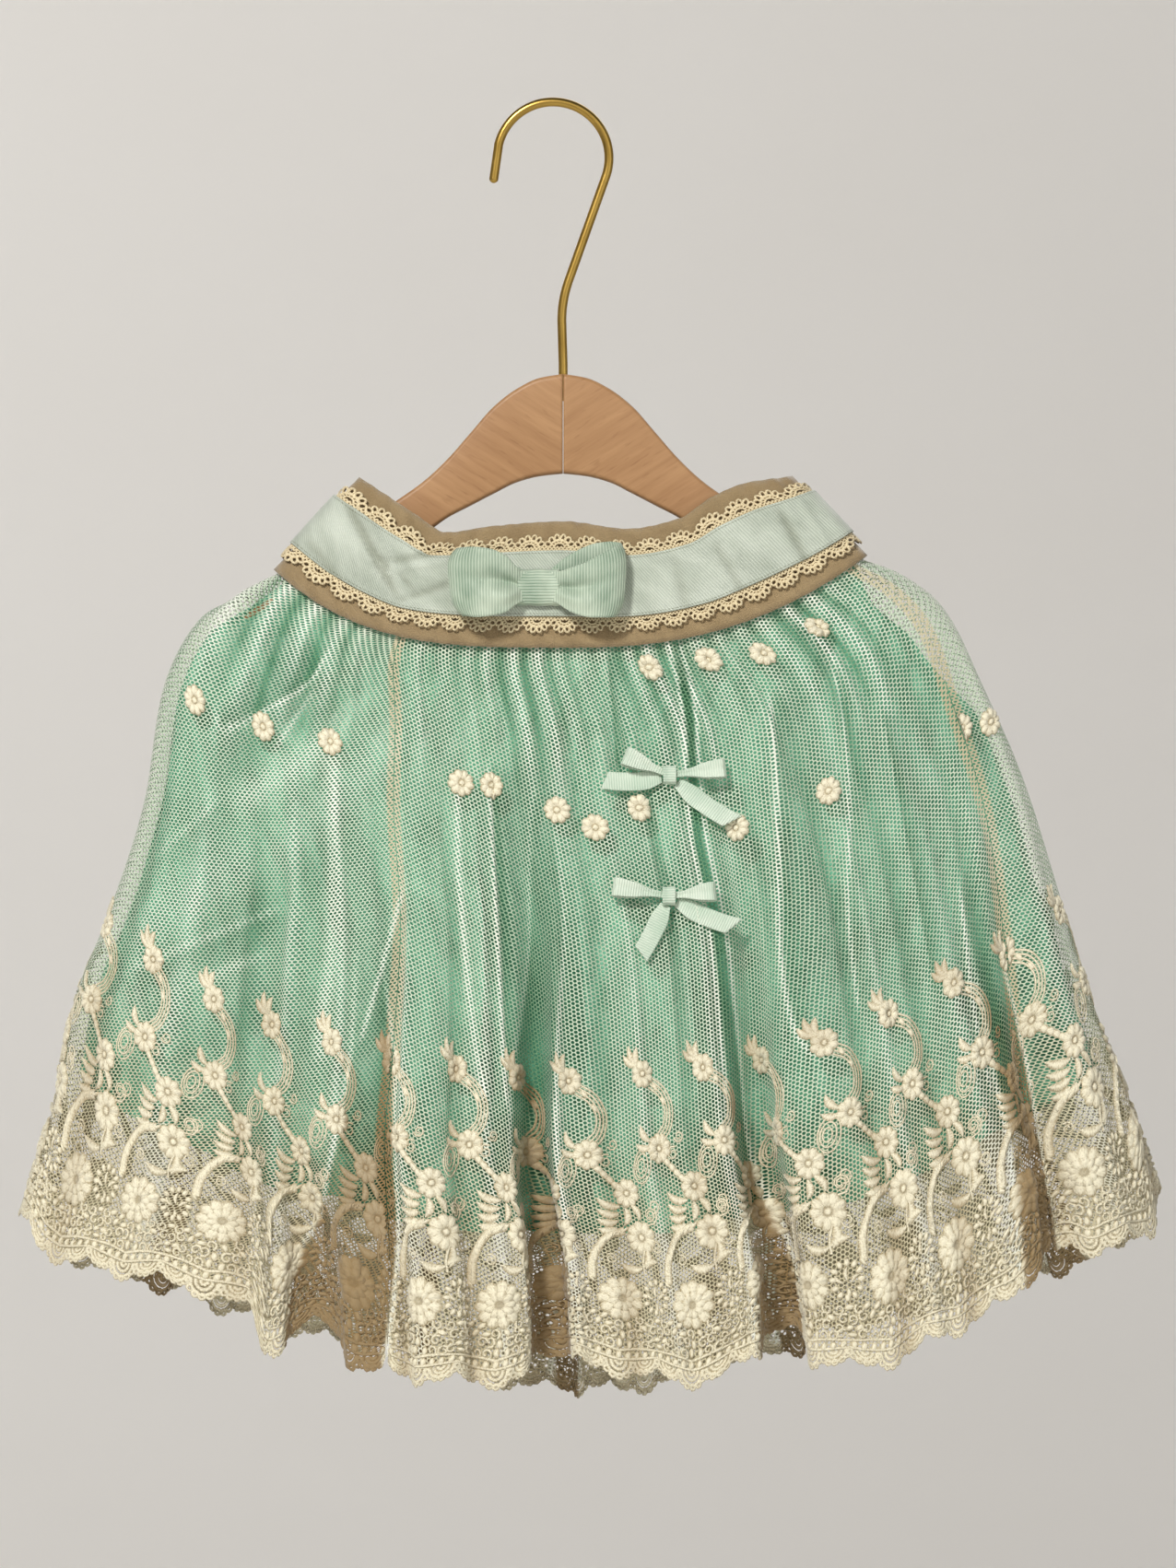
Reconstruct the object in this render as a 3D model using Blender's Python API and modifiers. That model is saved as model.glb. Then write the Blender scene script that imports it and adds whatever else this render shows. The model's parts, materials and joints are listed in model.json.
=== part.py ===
"""A child's gathered mini skirt of embroidered net over mint satin, on a wooden hanger.

Objects are in metres: +X is the viewer's right, -Y the front, +Z up. The origin is the inside of
the hook's crown, where the hanger hangs. Tables and sizes are in millimetres, a drop is measured
down from the origin, and a share runs from 0 at the skirt's waist seam to 1 at its hem.
A ring place runs 0 to 1 across the front, left to right, and 1 to 2 back across the rear.
"""

import math

import bmesh
import bpy
import numpy as np
from mathutils import Vector
from mathutils.bvhtree import BVHTree

MM = 0.001
SEAM_GAP = 0.3

NET_WALL = 1.2
LINING_WALL = 1.0
BORDER_TOP = 0.86
BORDER_RAISE = 0.7
BORDER_REPEAT = 36.0
SCALLOP_DEPTH = 4.0
SHOULDER_SLACK = 8.0
LINING_SPREAD = 9.0
END_CROWDING = 0.6
NET_CROWDING = 0.4

BASE_WALL = 1.4
LACE_WALL = 0.9
RIBBON_WALL = 0.9
STRIP_GAP = 0.6
BAND_COLUMNS = 64
BAND_RIM_LIFT = 1.3
TOP_FANS = 32
BOTTOM_FANS = 43
FAN_COLUMNS = 3
FAN_NOTCH = 0.055
FINER_END_REACH = 0.07

HANGER_THICKNESS = 10.0
HANGER_JOINT = 4.4
HANGER_EDGE_ROUND = 2.2
SHANK_SEAT_DEPTH = 12.0
SHANK_CLEARANCE = 0.35

WIRE = 4.0
HOOK_RADIUS = 24.3
HOOK_TIP_ANGLE = 166.0
HOOK_TIP_RUN = 15.0
HOOK_SHANK_ANGLE = -19.6
SHANK_BEND_DROP = 84.0
SHANK_BEND_RADIUS = 9.0

FLOWER_RADIUS = 6.0
FLOWER_HEART = 4.6
FLOWER_WALL = 1.1
FLOWER_LIFT = 0.45
SIGHT = 200.0 * MM
BOW_REACH = {"across": 30.0, "above": 13.0, "below": 27.0}
BOW_LEAN = 0.2

# The skirt's rings, one row each: how far down the cloth, where the silhouette's left and right
# ends lie, how low the front hangs in its middle, how deep the front and the back stand from the
# hanger's plane, how square the plan is, and how late the droop begins on each side.
RING_COLUMNS = (
    "share", "left", "left_drop", "right", "right_drop", "centre_drop",
    "front", "back", "squareness", "droop_left", "droop_right",
)
RINGS = (
    (-0.013, -114.7, 200.6, 130.2, 194.0, 232.6, 12.2, 10.8, 4.8, 3.5, 2.4),
    (0.0, -117.4, 203.4, 132.6, 197.2, 236.6, 12.4, 11.0, 4.8, 3.5, 2.4),
    (0.06, -133.0, 212.6, 149.4, 205.0, 255.0, 14.6, 13.4, 4.8, 3.3, 2.4),
    (0.13, -151.6, 223.0, 166.8, 218.2, 276.6, 18.0, 14.8, 4.4, 3.0, 2.4),
    (0.25, -168.2, 254.2, 185.0, 251.4, 313.8, 25.0, 16.4, 3.5, 2.7, 2.3),
    (0.4, -175.8, 300.6, 202.6, 291.8, 360.2, 34.0, 17.5, 3.0, 2.5, 2.3),
    (0.575, -191.4, 350.2, 218.6, 342.6, 414.2, 43.0, 21.5, 2.7, 2.4, 2.2),
    (0.71, -206.2, 387.8, 231.4, 383.8, 456.2, 50.0, 24.5, 2.6, 2.3, 2.2),
    (0.877, -216.6, 438.2, 250.2, 431.8, 507.8, 57.0, 28.0, 2.5, 2.2, 2.1),
    (1.0, -228.2, 473.8, 261.4, 468.2, 545.8, 61.0, 31.0, 2.5, 2.2, 2.1),
)

# The front hem's line, from the left end to the right end.
HEM_COLUMNS = ("across", "drop")
FRONT_HEM = (
    (-228.2, 474.0),
    (-219.0, 491.0),
    (-162.0, 504.0),
    (-138.0, 513.0),
    (-127.0, 534.0),
    (-102.0, 527.0),
    (-80.0, 540.0),
    (-30.0, 545.0),
    (8.0, 537.0),
    (60.0, 545.0),
    (93.0, 531.0),
    (133.0, 539.0),
    (162.0, 528.0),
    (194.0, 510.0),
    (205.0, 495.0),
    (238.0, 489.0),
    (256.0, 483.0),
    (261.4, 468.0),
)
BACK_HEM = (
    (-228.2, 474.0),
    (-212.0, 494.0),
    (-140.0, 520.0),
    (-60.0, 542.0),
    (17.0, 556.0),
    (90.0, 540.0),
    (170.0, 518.0),
    (246.0, 492.0),
    (261.4, 468.0),
)
HEM_BLEND_START = 0.72

# The large folds, one row each: ring places at waist and hem, half widths there, depth at full
# size (a ridge is below zero), and the shares where it begins, is full and has died away.
FOLD_COLUMNS = (
    "waist_place", "hem_place", "waist_half", "hem_half", "depth", "start", "full", "gone",
)
FOLDS = (
    (0.10, 0.276, 8.0, 26.0, 14.0, 0.10, 1.0, 9.0),
    (0.43, 0.468, 7.0, 16.0, 18.0, 0.08, 0.8, 9.0),
    (0.675, 0.656, 10.0, 17.0, 18.5, 0.02, 0.75, 9.0),
    (0.955, 0.885, 6.0, 15.0, 14.0, 0.3, 1.0, 9.0),
    (0.56, 0.56, 8.0, 11.0, 3.4, 0.0, 0.12, 0.32),
    (0.745, 0.73, 8.0, 16.0, -5.0, 0.03, 0.3, 0.9),
    (0.30, 0.385, 7.0, 16.0, -6.0, 0.05, 0.7, 9.0),
    (1.13, 1.12, 8.0, 18.0, 8.0, 0.1, 0.9, 9.0),
    (1.31, 1.30, 8.0, 18.0, 11.0, 0.05, 0.8, 9.0),
    (1.49, 1.50, 8.0, 16.0, 9.0, 0.03, 0.9, 9.0),
    (1.66, 1.67, 8.0, 19.0, 12.0, 0.08, 0.8, 9.0),
    (1.86, 1.85, 8.0, 17.0, 8.0, 0.12, 1.0, 9.0),
)

# How the small gathers swell and how far the lining lies inside the net's wall.
GATHER_COLUMNS = ("share", "net", "lining", "inset")
GATHERS = (
    (-0.013, 0.25, 0.15, 1.0),
    (0.0, 0.4, 0.2, 1.1),
    (0.06, 1.0, 0.4, 2.6),
    (0.13, 1.4, 0.6, 3.3),
    (0.25, 1.9, 0.8, 4.2),
    (0.6, 1.9, 0.8, 4.2),
    (1.0, 1.9, 0.8, 4.0),
)
GATHER_MERGE_START = 0.1
GATHER_MERGE_END = 0.42

# The two net seams, as ring places on the front.
SEAM_COLUMNS = ("share", "left", "right")
NET_SEAMS = (
    (-0.013, 0.22, 0.962),
    (0.0, 0.22, 0.962),
    (0.13, 0.275, 0.952),
    (0.25, 0.295, 0.94),
    (0.575, 0.315, 0.915),
    (1.0, 0.337, 0.875),
)

# The waistband's upper edge: the share across, and the drop of its front and rear.
BAND_EDGE_COLUMNS = ("across", "front_drop", "back_drop")
BAND_TOP = (
    (-1.0, 161.8, 161.8),
    (-0.87, 169.8, 172.0),
    (-0.74, 177.8, 180.0),
    (-0.6, 185.4, 186.5),
    (-0.38, 182.6, 189.0),
    (-0.05, 180.6, 190.0),
    (0.24, 183.8, 189.5),
    (0.48, 179.4, 187.0),
    (0.63, 170.2, 182.0),
    (0.8, 163.8, 174.0),
    (1.0, 161.4, 161.4),
)
BAND_TOP_ENDS = (-83.2, 102.8)
BAND_TOP_DEPTHS = (11.5, 10.5)
BAND_TOP_SQUARENESS = 2.5
BAND_FIT = 2.7
BAND_SQUARENESS = 4.4

# The hanger's half board: how far out from the glued joint, and the drops of its two edges.
BOARD_COLUMNS = ("out", "top", "bottom")
BOARD = (
    (0.0, 116.2, 159.4),
    (10.0, 117.9, 160.5),
    (20.0, 122.6, 163.1),
    (30.0, 130.3, 168.0),
    (40.0, 141.6, 173.2),
    (50.0, 153.0, 178.4),
    (60.0, 162.4, 185.4),
    (75.0, 173.2, 193.0),
    (100.0, 192.5, 211.5),
    (125.0, 211.7, 229.7),
    (138.0, 221.1, 237.6),
    (142.0, 226.0, 235.6),
)

# Places of the embroidered flowers: across and drop on the front, ring places on the back.
FRONT_FLOWERS = (
    (-155.0, 258.0),
    (-124.8, 269.4),
    (-96.0, 276.6),
    (-39.6, 293.4),
    (-26.8, 295.4),
    (1.6, 304.6),
    (18.4, 313.0),
    (37.2, 305.0),
    (79.2, 313.0),
    (118.8, 297.4),
    (147.6, 280.6),
    (189.0, 268.0),
    (42.0, 243.5),
    (67.6, 240.8),
    (90.8, 238.0),
    (114.4, 226.0),
)
BACK_FLOWER_SHARE = 0.2
BACK_FLOWER_PLACES = (1.12, 1.22, 1.32, 1.43, 1.54, 1.65, 1.76, 1.87)

# The small ribbon bows: knot places, then loops and tails from the knot, as right and up.
SMALL_BOWS = {
    "upper_bow": {
        "across": 50.4,
        "drop": 290.6,
        "loop_left": (-19.5, 8.0),
        "loop_right": (24.0, 2.5),
        "tail_left": (-28.0, -2.0),
        "tail_right": (27.0, -20.0),
    },
    "lower_bow": {
        "across": 50.0,
        "drop": 342.6,
        "loop_left": (-24.0, 3.5),
        "loop_right": (20.0, 1.5),
        "tail_left": (-12.0, -25.0),
        "tail_right": (28.0, -13.0),
    },
}

SMALL_BOW = {
    "cuts": 2,
    "width": 8.0,
    "wall": 0.7,
    "height": 4.4,
    "pinch": 2.6,
    "pinch_lift": 1.1,
    "flare_start": 0.2,
    "knot_width": 5.6,
    "knot_height": 7.6,
    "knot_foot": 0.9,
    "knot_lift": 3.9,
}
SMALL_BOW_LOOP_LIFT = 1.2
TAIL_START = 0.12
TAIL_SAG = 1.5

# The flat bow on the waistband.
BELT_BOW_DROP_SHARE = 0.53
BELT_BOW_ACROSS = -2.0
BELT_BOW_HALF_SPANS = {"left": 38.5, "right": 37.5}
BELT_BOW_STAND = 5.2
BELT_BOW = {
    "cuts": 3,
    "width": 31.0,
    "wall": 0.9,
    "height": 9.0,
    "pinch": 12.5,
    "pinch_lift": 1.5,
    "flare_start": 0.26,
    "knot_width": 18.0,
    "knot_height": 15.6,
    "knot_foot": 0.2,
    "knot_lift": 4.4,
}


def clear_scene():
    for leftover in list(bpy.data.objects):
        bpy.data.objects.remove(leftover, do_unlink=True)


def smooth_reader(places, values):
    """Read a column smoothly between its rows, without overshoot."""
    places = np.asarray(places, float)
    values = np.asarray(values, float)
    steps = np.diff(places)
    slopes = np.diff(values) / steps
    tangents = np.empty_like(values)
    tangents[0] = slopes[0]
    tangents[-1] = slopes[-1]
    before = slopes[:-1]
    after = slopes[1:]
    level = before * after <= 0
    total = np.where(level, 1.0, before + after)
    tangents[1:-1] = np.where(level, 0.0, 2 * before * after / total)

    def read(place):
        place = np.clip(np.asarray(place, float), places[0], places[-1])
        row = np.clip(np.searchsorted(places, place, side="right") - 1, 0, len(steps) - 1)
        along = (place - places[row]) / steps[row]
        rise = along * along * (3 - 2 * along)
        enter = along * (1 - along) ** 2
        leave = along * along * (along - 1)
        bend = steps[row] * (tangents[row] * enter + tangents[row + 1] * leave)
        return values[row] + (values[row + 1] - values[row]) * rise + bend

    return read


def table(columns, rows):
    """A smooth reader for each named column, by the first one."""
    grid = np.array(rows, float)
    return {name: smooth_reader(grid[:, 0], grid[:, i]) for i, name in enumerate(columns)}


def smoothstep(low, high, value):
    share = np.clip((np.asarray(value, float) - low) / (high - low), 0, 1)
    return share * share * (3 - 2 * share)


RING = table(RING_COLUMNS, RINGS)
HEM_FRONT = table(HEM_COLUMNS, FRONT_HEM)
HEM_BACK = table(HEM_COLUMNS, BACK_HEM)
GATHER = table(GATHER_COLUMNS, GATHERS)
SEAM = table(SEAM_COLUMNS, NET_SEAMS)
BAND_EDGE = table(BAND_EDGE_COLUMNS, BAND_TOP)
BOARD_EDGE = table(BOARD_COLUMNS, BOARD)

HALF_SAMPLES = 400


def plan_outline(left, right, front, back, squareness):
    """A closed plan of two half ovals, as points and ring places by their length."""
    middle = (left + right) / 2
    reach = (right - left) / 2
    turn = np.linspace(0, math.pi, HALF_SAMPLES)
    across = -np.cos(turn)
    bulge = np.maximum(0, 1 - np.abs(across) ** squareness) ** (1 / squareness)
    halves = []
    for start, side, depth in ((0, 1, -front), (1, -1, back)):
        points = np.column_stack((middle + side * reach * across, depth * bulge))
        runs = np.concatenate(([0], np.cumsum(np.linalg.norm(np.diff(points, axis=0), axis=1))))
        halves.append((start + runs / runs[-1], points, runs[-1]))
    places = np.concatenate((halves[0][0], halves[1][0][1:]))
    points = np.concatenate((halves[0][1], halves[1][1][1:]))
    return places, points, (halves[0][2], halves[1][2])


def ring_at(place, places, points):
    """Points and outward directions of a plan at ring places that may wrap round."""
    place = np.mod(place, 2)
    step = 0.004
    ahead = np.mod(place + step, 2)
    behind = np.mod(place - step, 2)
    here = np.column_stack([np.interp(place, places, points[:, i]) for i in (0, 1)])
    run = np.column_stack(
        [np.interp(ahead, places, points[:, i]) - np.interp(behind, places, points[:, i]) for i in (0, 1)]
    )
    outward = np.column_stack((run[:, 1], -run[:, 0]))
    return here, outward / np.linalg.norm(outward, axis=1, keepdims=True)


def fold_depth(place, share, half_lengths, spread):
    """How far the large folds push the cloth inwards."""
    total = np.zeros_like(place)
    place = np.mod(place, 2)
    for row in FOLDS:
        fold = dict(zip(FOLD_COLUMNS, row))
        if spread and fold["depth"] < 0:
            continue
        centre = fold["waist_place"] + (fold["hem_place"] - fold["waist_place"]) * np.clip(share, 0, 1)
        half = fold["waist_half"] + (fold["hem_half"] - fold["waist_half"]) * np.clip(share, 0, 1)
        length = half_lengths[0] if centre < 1 else half_lengths[1]
        away = np.abs(place - centre)
        away = np.minimum(away, 2 - away) * length
        away = np.clip((away - spread) / half, 0, 1)
        bell = (1 + np.cos(math.pi * away)) / 2
        grown = smoothstep(fold["start"], fold["full"], share)
        faded = 1 - smoothstep(fold["full"], fold["gone"], share)
        total += fold["depth"] * bell * grown * faded
    return total


def droop(across, share, rear):
    """How low the cloth lies at a share across from -1 to 1."""
    side_drop = np.where(across < 0, RING["left_drop"](share), RING["right_drop"](share))
    power = np.where(across < 0, RING["droop_left"](share), RING["droop_right"](share))
    reach = 1 - np.abs(np.clip(across, -1, 1)) ** power
    drop = side_drop + (RING["centre_drop"](share) - side_drop) * reach
    left = RING["left"](1.0)
    right = RING["right"](1.0)
    at_hem = (left + right) / 2 + (right - left) / 2 * across
    hem = np.where(rear, HEM_BACK["drop"](at_hem), HEM_FRONT["drop"](at_hem))
    plain_power = np.where(across < 0, RING["droop_left"](1.0), RING["droop_right"](1.0))
    plain_side = np.where(across < 0, RING["left_drop"](1.0), RING["right_drop"](1.0))
    plain = plain_side + (RING["centre_drop"](1.0) - plain_side) * (1 - np.abs(across) ** plain_power)
    return drop + (hem - plain) * smoothstep(HEM_BLEND_START, 1.0, share)


def skirt_form(place, share, spread=0.0):
    """Points of the skirt's cloth with its large folds, for ring places at one share.

    A spread widens the troughs by that much each way and leaves the ridges out.
    """
    place = np.asarray(place, float)
    left = float(RING["left"](share))
    right = float(RING["right"](share))
    depths = (float(RING["front"](share)), float(RING["back"](share)))
    places, points, lengths = plan_outline(left, right, *depths, float(RING["squareness"](share)))
    here, outward = ring_at(place, places, points)
    here = here - outward * fold_depth(place, share, lengths, spread)[:, None]
    across = np.clip((here[:, 0] - (left + right) / 2) / ((right - left) / 2), -1, 1)
    rear = np.mod(place, 2) > 1
    return np.column_stack((here, -droop(across, share, rear)))


def band_form(place, share):
    """Points of the waistband's inner side, from its upper edge at share 0 to its lower at 1."""
    place = np.asarray(place, float)
    places, points, _ = plan_outline(*BAND_TOP_ENDS, *BAND_TOP_DEPTHS, BAND_TOP_SQUARENESS)
    upper, _ = ring_at(place, places, points)
    left, right = BAND_TOP_ENDS
    across = np.clip((upper[:, 0] - (left + right) / 2) / ((right - left) / 2), -1, 1)
    rear = np.mod(place, 2) > 1
    drop = np.where(rear, BAND_EDGE["back_drop"](across), BAND_EDGE["front_drop"](across))
    upper = np.column_stack((upper, -drop))
    left = float(RING["left"](0.0)) - BAND_FIT
    right = float(RING["right"](0.0)) + BAND_FIT
    depths = (float(RING["front"](0.0)) + BAND_FIT, float(RING["back"](0.0)) + BAND_FIT)
    places, points, _ = plan_outline(left, right, *depths, BAND_SQUARENESS)
    lower, _ = ring_at(place, places, points)
    across = np.clip((lower[:, 0] - (left + right) / 2) / ((right - left) / 2), -1, 1)
    lower = np.column_stack((lower, BAND_RIM_LIFT - droop(across, 0.0, rear)))
    return upper + (lower - upper) * share


def outward_of(form, place, share, step=0.004):
    """Outward directions of a form, square to the cloth."""
    round_it = form(place + step, share) - form(place - step, share)
    down_it = form(place, share + step) - form(place, share - step)
    outward = np.cross(round_it, -down_it)
    return outward / np.linalg.norm(outward, axis=1, keepdims=True)


def gather_wave(cloth, gathers, share):
    """Small gathers that merge in pairs as they fall, from -1 to 1, uneven round the cloth."""
    merged = float(smoothstep(GATHER_MERGE_START, GATHER_MERGE_END, share))
    fine = np.cos(2 * math.pi * gathers * cloth)
    broad = np.cos(math.pi * gathers * cloth + 0.9)
    uneven = 0.72 + 0.28 * np.cos(2 * math.pi * (3.3 * cloth + 0.15))
    return ((1 - merged) * fine + merged * broad) * uneven


def net_place(panel, cloth, share):
    """Ring places of a net panel's cloth, which runs 0 to 1 from seam to seam."""
    left = float(SEAM["left"](share))
    right = float(SEAM["right"](share))
    start, end = (left, right) if panel == "front" else (right, 2 + left)
    length = RING["right"](share) - RING["left"](share)
    inset = SEAM_GAP / 2 / float(length)
    return start + inset + (end - start - 2 * inset) * cloth


def net_point(panel, cloth, share, lift):
    """Points on the net's plain inner side, moved out by lift. The gathers die away at the seams."""
    gathers = NET_PANELS[panel]["gathers"]
    place = net_place(panel, cloth, share)
    at_seams = smoothstep(0.0, 1 / gathers, np.minimum(cloth, 1 - cloth))
    wave = gather_wave(cloth, gathers, share) * float(GATHER["net"](share)) * at_seams
    return skirt_form(place, share) + outward_of(skirt_form, place, share) * (wave + lift)[:, None]


def lining_form(place, share):
    """The skirt's form for the lining: wide troughs, no ridges, and a shoulder let down on the arm."""
    points = skirt_form(place, share, LINING_SPREAD)
    near_right = smoothstep(0.12, 0.0, np.abs(np.mod(place, 2) - 1))
    on_shoulder = smoothstep(0.0, 0.07, share) * smoothstep(0.3, 0.15, share)
    slack = SHOULDER_SLACK * near_right * on_shoulder
    points[:, 0] -= slack
    points[:, 2] -= slack
    return points


def lining_point(place, cloth, gathers, share, lift):
    """Points on the lining's inner side, moved out by lift."""
    wave = gather_wave(cloth, gathers, share) * float(GATHER["lining"](share))
    depth = float(GATHER["inset"](share)) + LINING_WALL - wave - lift
    return lining_form(place, share) - outward_of(lining_form, place, share) * depth[:, None]


def linked(mesh_object, material):
    PARTS.objects.link(mesh_object)
    mesh_object.data.materials.append(material)
    return mesh_object


def sheet_mesh(name, rows):
    """An open sheet through rows of points, facing outwards."""
    rows = [np.asarray(row) * MM for row in rows]
    builder = bmesh.new()
    grid = [[builder.verts.new(point) for point in row] for row in rows]
    for upper, lower in zip(grid[:-1], grid[1:]):
        for i in range(len(upper) - 1):
            builder.faces.new((upper[i], lower[i], lower[i + 1], upper[i + 1]))
    mesh = bpy.data.meshes.new(name)
    builder.to_mesh(mesh)
    builder.free()
    mesh.shade_smooth()
    return bpy.data.objects.new(name, mesh)


def wall_mesh(name, inner_rows, outer_rows, closed):
    """A wall between unlike inner and outer sides; closed joins its ends into a ring."""
    builder = bmesh.new()
    sides = []
    for rows in (inner_rows, outer_rows):
        sides.append([[builder.verts.new(point) for point in np.asarray(row) * MM] for row in rows])
    inner, outer = sides
    count = len(inner[0])
    spans = [(i, (i + 1) % count) for i in range(count if closed else count - 1)]
    for row in range(len(inner) - 1):
        for i, j in spans:
            builder.faces.new((outer[row][i], outer[row + 1][i], outer[row + 1][j], outer[row][j]))
            builder.faces.new((inner[row][i], inner[row][j], inner[row + 1][j], inner[row + 1][i]))
        if not closed:
            builder.faces.new((inner[row][0], inner[row + 1][0], outer[row + 1][0], outer[row][0]))
            builder.faces.new((outer[row][-1], outer[row + 1][-1], inner[row + 1][-1], inner[row][-1]))
    for i, j in spans:
        builder.faces.new((inner[0][i], outer[0][i], outer[0][j], inner[0][j]))
        builder.faces.new((outer[-1][i], inner[-1][i], inner[-1][j], outer[-1][j]))
    mesh = bpy.data.meshes.new(name)
    builder.to_mesh(mesh)
    builder.free()
    mesh.shade_smooth()
    mesh.set_sharp_from_angle(angle=math.radians(60))
    return bpy.data.objects.new(name, mesh)


def material(name, colour, roughness, metallic=0.0):
    made = bpy.data.materials.new(name)
    made.use_nodes = True
    shader = made.node_tree.nodes["Principled BSDF"]
    shader.inputs["Base Color"].default_value = (*colour, 1)
    shader.inputs["Roughness"].default_value = roughness
    shader.inputs["Metallic"].default_value = metallic
    made.diffuse_color = (*colour, 1)
    return made


NET_SHARES = (-0.013, 0.0, 0.05, 0.12, 0.22, 0.34, 0.48, 0.62, 0.75, BORDER_TOP, 0.93, 1.0)
LINING_SHARES = (-0.013, 0.0, 0.05, 0.14, 0.27, 0.44, 0.62, 0.81)
NET_PANELS = {
    "front": {"gathers": 20, "columns": 80},
    "wrap": {"gathers": 28, "columns": 84},
}


def net_repeats(panel):
    """How many embroidered repeats the panel's border holds."""
    places = net_place(panel, np.linspace(0, 1, 400), 1.0)
    hem = skirt_form(places, 1.0)
    length = np.linalg.norm(np.diff(hem, axis=0), axis=1).sum()
    return round(length / BORDER_REPEAT)


def net_columns(panel):
    """Where the panel's columns lie in its cloth, closer together round the skirt's two ends."""
    even = np.linspace(0, 1, NET_PANELS[panel]["columns"] + 1)
    place = net_place(panel, even, 0.0)
    shift = -NET_CROWDING / (2 * math.pi) * np.sin(2 * math.pi * place)
    shift -= shift[0] + (shift[-1] - shift[0]) * even
    return even + shift / (place[-1] - place[0])


def net_panel_rows(panel):
    """Rows of the panel's plain inner side and of its outer side, raised at the border."""
    cloth = net_columns(panel)
    repeats = net_repeats(panel)
    swell = 0.5 + 0.5 * np.cos(2 * math.pi * repeats * cloth)
    scallop = SCALLOP_DEPTH * (np.abs(np.sin(math.pi * repeats * cloth)) - 0.5)
    inner = []
    outer = []
    for share in NET_SHARES:
        raised = BORDER_RAISE * swell if share >= BORDER_TOP else np.zeros_like(cloth)
        for rows, lift in ((inner, np.zeros_like(cloth)), (outer, NET_WALL + raised)):
            points = net_point(panel, cloth, share, lift)
            if share == 1.0:
                points[:, 2] -= scallop
            rows.append(points)
    return inner, outer


def build_net_panel(panel, cloth_material):
    inner, outer = net_panel_rows(panel)
    linked(wall_mesh(f"net_{panel}", inner, outer, False), cloth_material)


def crowded(steps):
    """Ring places that stand closer together round the two ends than along the flats."""
    return steps - END_CROWDING / (2 * math.pi) * np.sin(2 * math.pi * steps)


def build_lining(name, start, end, gathers, columns, cloth_material):
    cloth = np.linspace(0, 1, columns + 1)
    inset = SEAM_GAP / 2 / (RING["right"](0.0) - RING["left"](0.0))
    place = crowded(start + inset + (end - start - 2 * inset) * cloth)
    sides = []
    for lift in (0.0, LINING_WALL):
        sides.append([lining_point(place, cloth, gathers, share, lift) for share in LINING_SHARES])
    linked(wall_mesh(name, *sides, False), cloth_material)


def band_side(place, shares, lifts, fans, notch):
    """Rows of one side of a waistband strip, its last row notched between the loops of its fans."""
    rows = []
    for row, (share, lift) in enumerate(zip(shares, lifts)):
        between = 1 - np.abs(np.sin(math.pi * fans * place / 2))
        cut = notch * between if row == len(shares) - 1 else np.zeros_like(place)
        upper = band_form(place, share) + outward_of(band_form, place, share) * lift
        lower = band_form(place, share + notch) + outward_of(band_form, place, share) * lift
        weight = (cut / notch)[:, None] if notch else 0.0
        rows.append(upper + (lower - upper) * weight)
    return rows


def band_strip(name, place, shares, lifts, wall, cloth_material, fans=0, notch=0.0):
    """A closed strip round the waistband between shares of its height, lifted off its ground."""
    inner = band_side(place, shares, lifts, fans, notch)
    outer = band_side(place, shares, [lift + wall for lift in lifts], fans, notch)
    if shares[0] > shares[-1]:
        inner.reverse()
        outer.reverse()
    linked(wall_mesh(name, inner, outer, True), cloth_material)


def finer_at_ends(ring):
    """The same ring places with others halfway between them round the two ends."""
    halfway = (ring + np.append(ring[1:], 2.0)) / 2
    from_end = np.abs(np.mod(halfway + 0.5, 1) - 0.5)
    return np.sort(np.concatenate((ring, halfway[from_end < FINER_END_REACH])))


def build_waistband(velvet, grosgrain, lace):
    lace_lift = BASE_WALL + STRIP_GAP
    edge_lift = lace_lift + LACE_WALL + STRIP_GAP
    ring = crowded(np.linspace(0, 2, BAND_COLUMNS, endpoint=False))
    band_strip("waistband_base", ring, (0.0, 0.5, 1.0), (0.0,) * 3, BASE_WALL, velvet)
    band_strip("waistband_ribbon", ring, (0.235, 0.495, 0.755), (edge_lift,) * 3, RIBBON_WALL, grosgrain)
    for name, fans, header, tips, notch in (
        ("picot_lace_top", TOP_FANS, 0.27, 0.09, FAN_NOTCH),
        ("picot_lace_bottom", BOTTOM_FANS, 0.72, 0.885, -FAN_NOTCH),
    ):
        ring = finer_at_ends(np.linspace(0, 2, fans * FAN_COLUMNS, endpoint=False))
        band_strip(name, ring, (header, tips), (lace_lift,) * 2, LACE_WALL, lace, fans, notch)


class Frame:
    """A flat place on the cloth: its origin, its right, its up and its outward direction."""

    def __init__(self, origin, right, up):
        self.origin = np.asarray(origin, float)
        self.right = np.asarray(right, float) / np.linalg.norm(right)
        self.out = np.cross(self.right, up)
        self.out /= np.linalg.norm(self.out)
        self.up = np.cross(self.out, self.right)

    def at(self, points):
        points = np.asarray(points, float)
        basis = np.stack((self.right, self.up, self.out))
        return self.origin + points @ basis


def ribbon(name, frame, path, half_widths, cross, wall, cloth_material, cuts):
    """A ribbon along a path of local points, as wide as half_widths each way along cross."""
    path = np.asarray(path, float)
    cross = np.asarray(cross, float)
    rows = []
    for point, half in zip(path, half_widths):
        spread = np.linspace(-half, half, cuts)
        rows.append(frame.at(point + spread[:, None] * cross))
    sheet = sheet_mesh(name, rows)
    solid = sheet.modifiers.new("Wall", "SOLIDIFY")
    solid.thickness = wall * MM
    solid.offset = 0
    linked(sheet, cloth_material)


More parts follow.
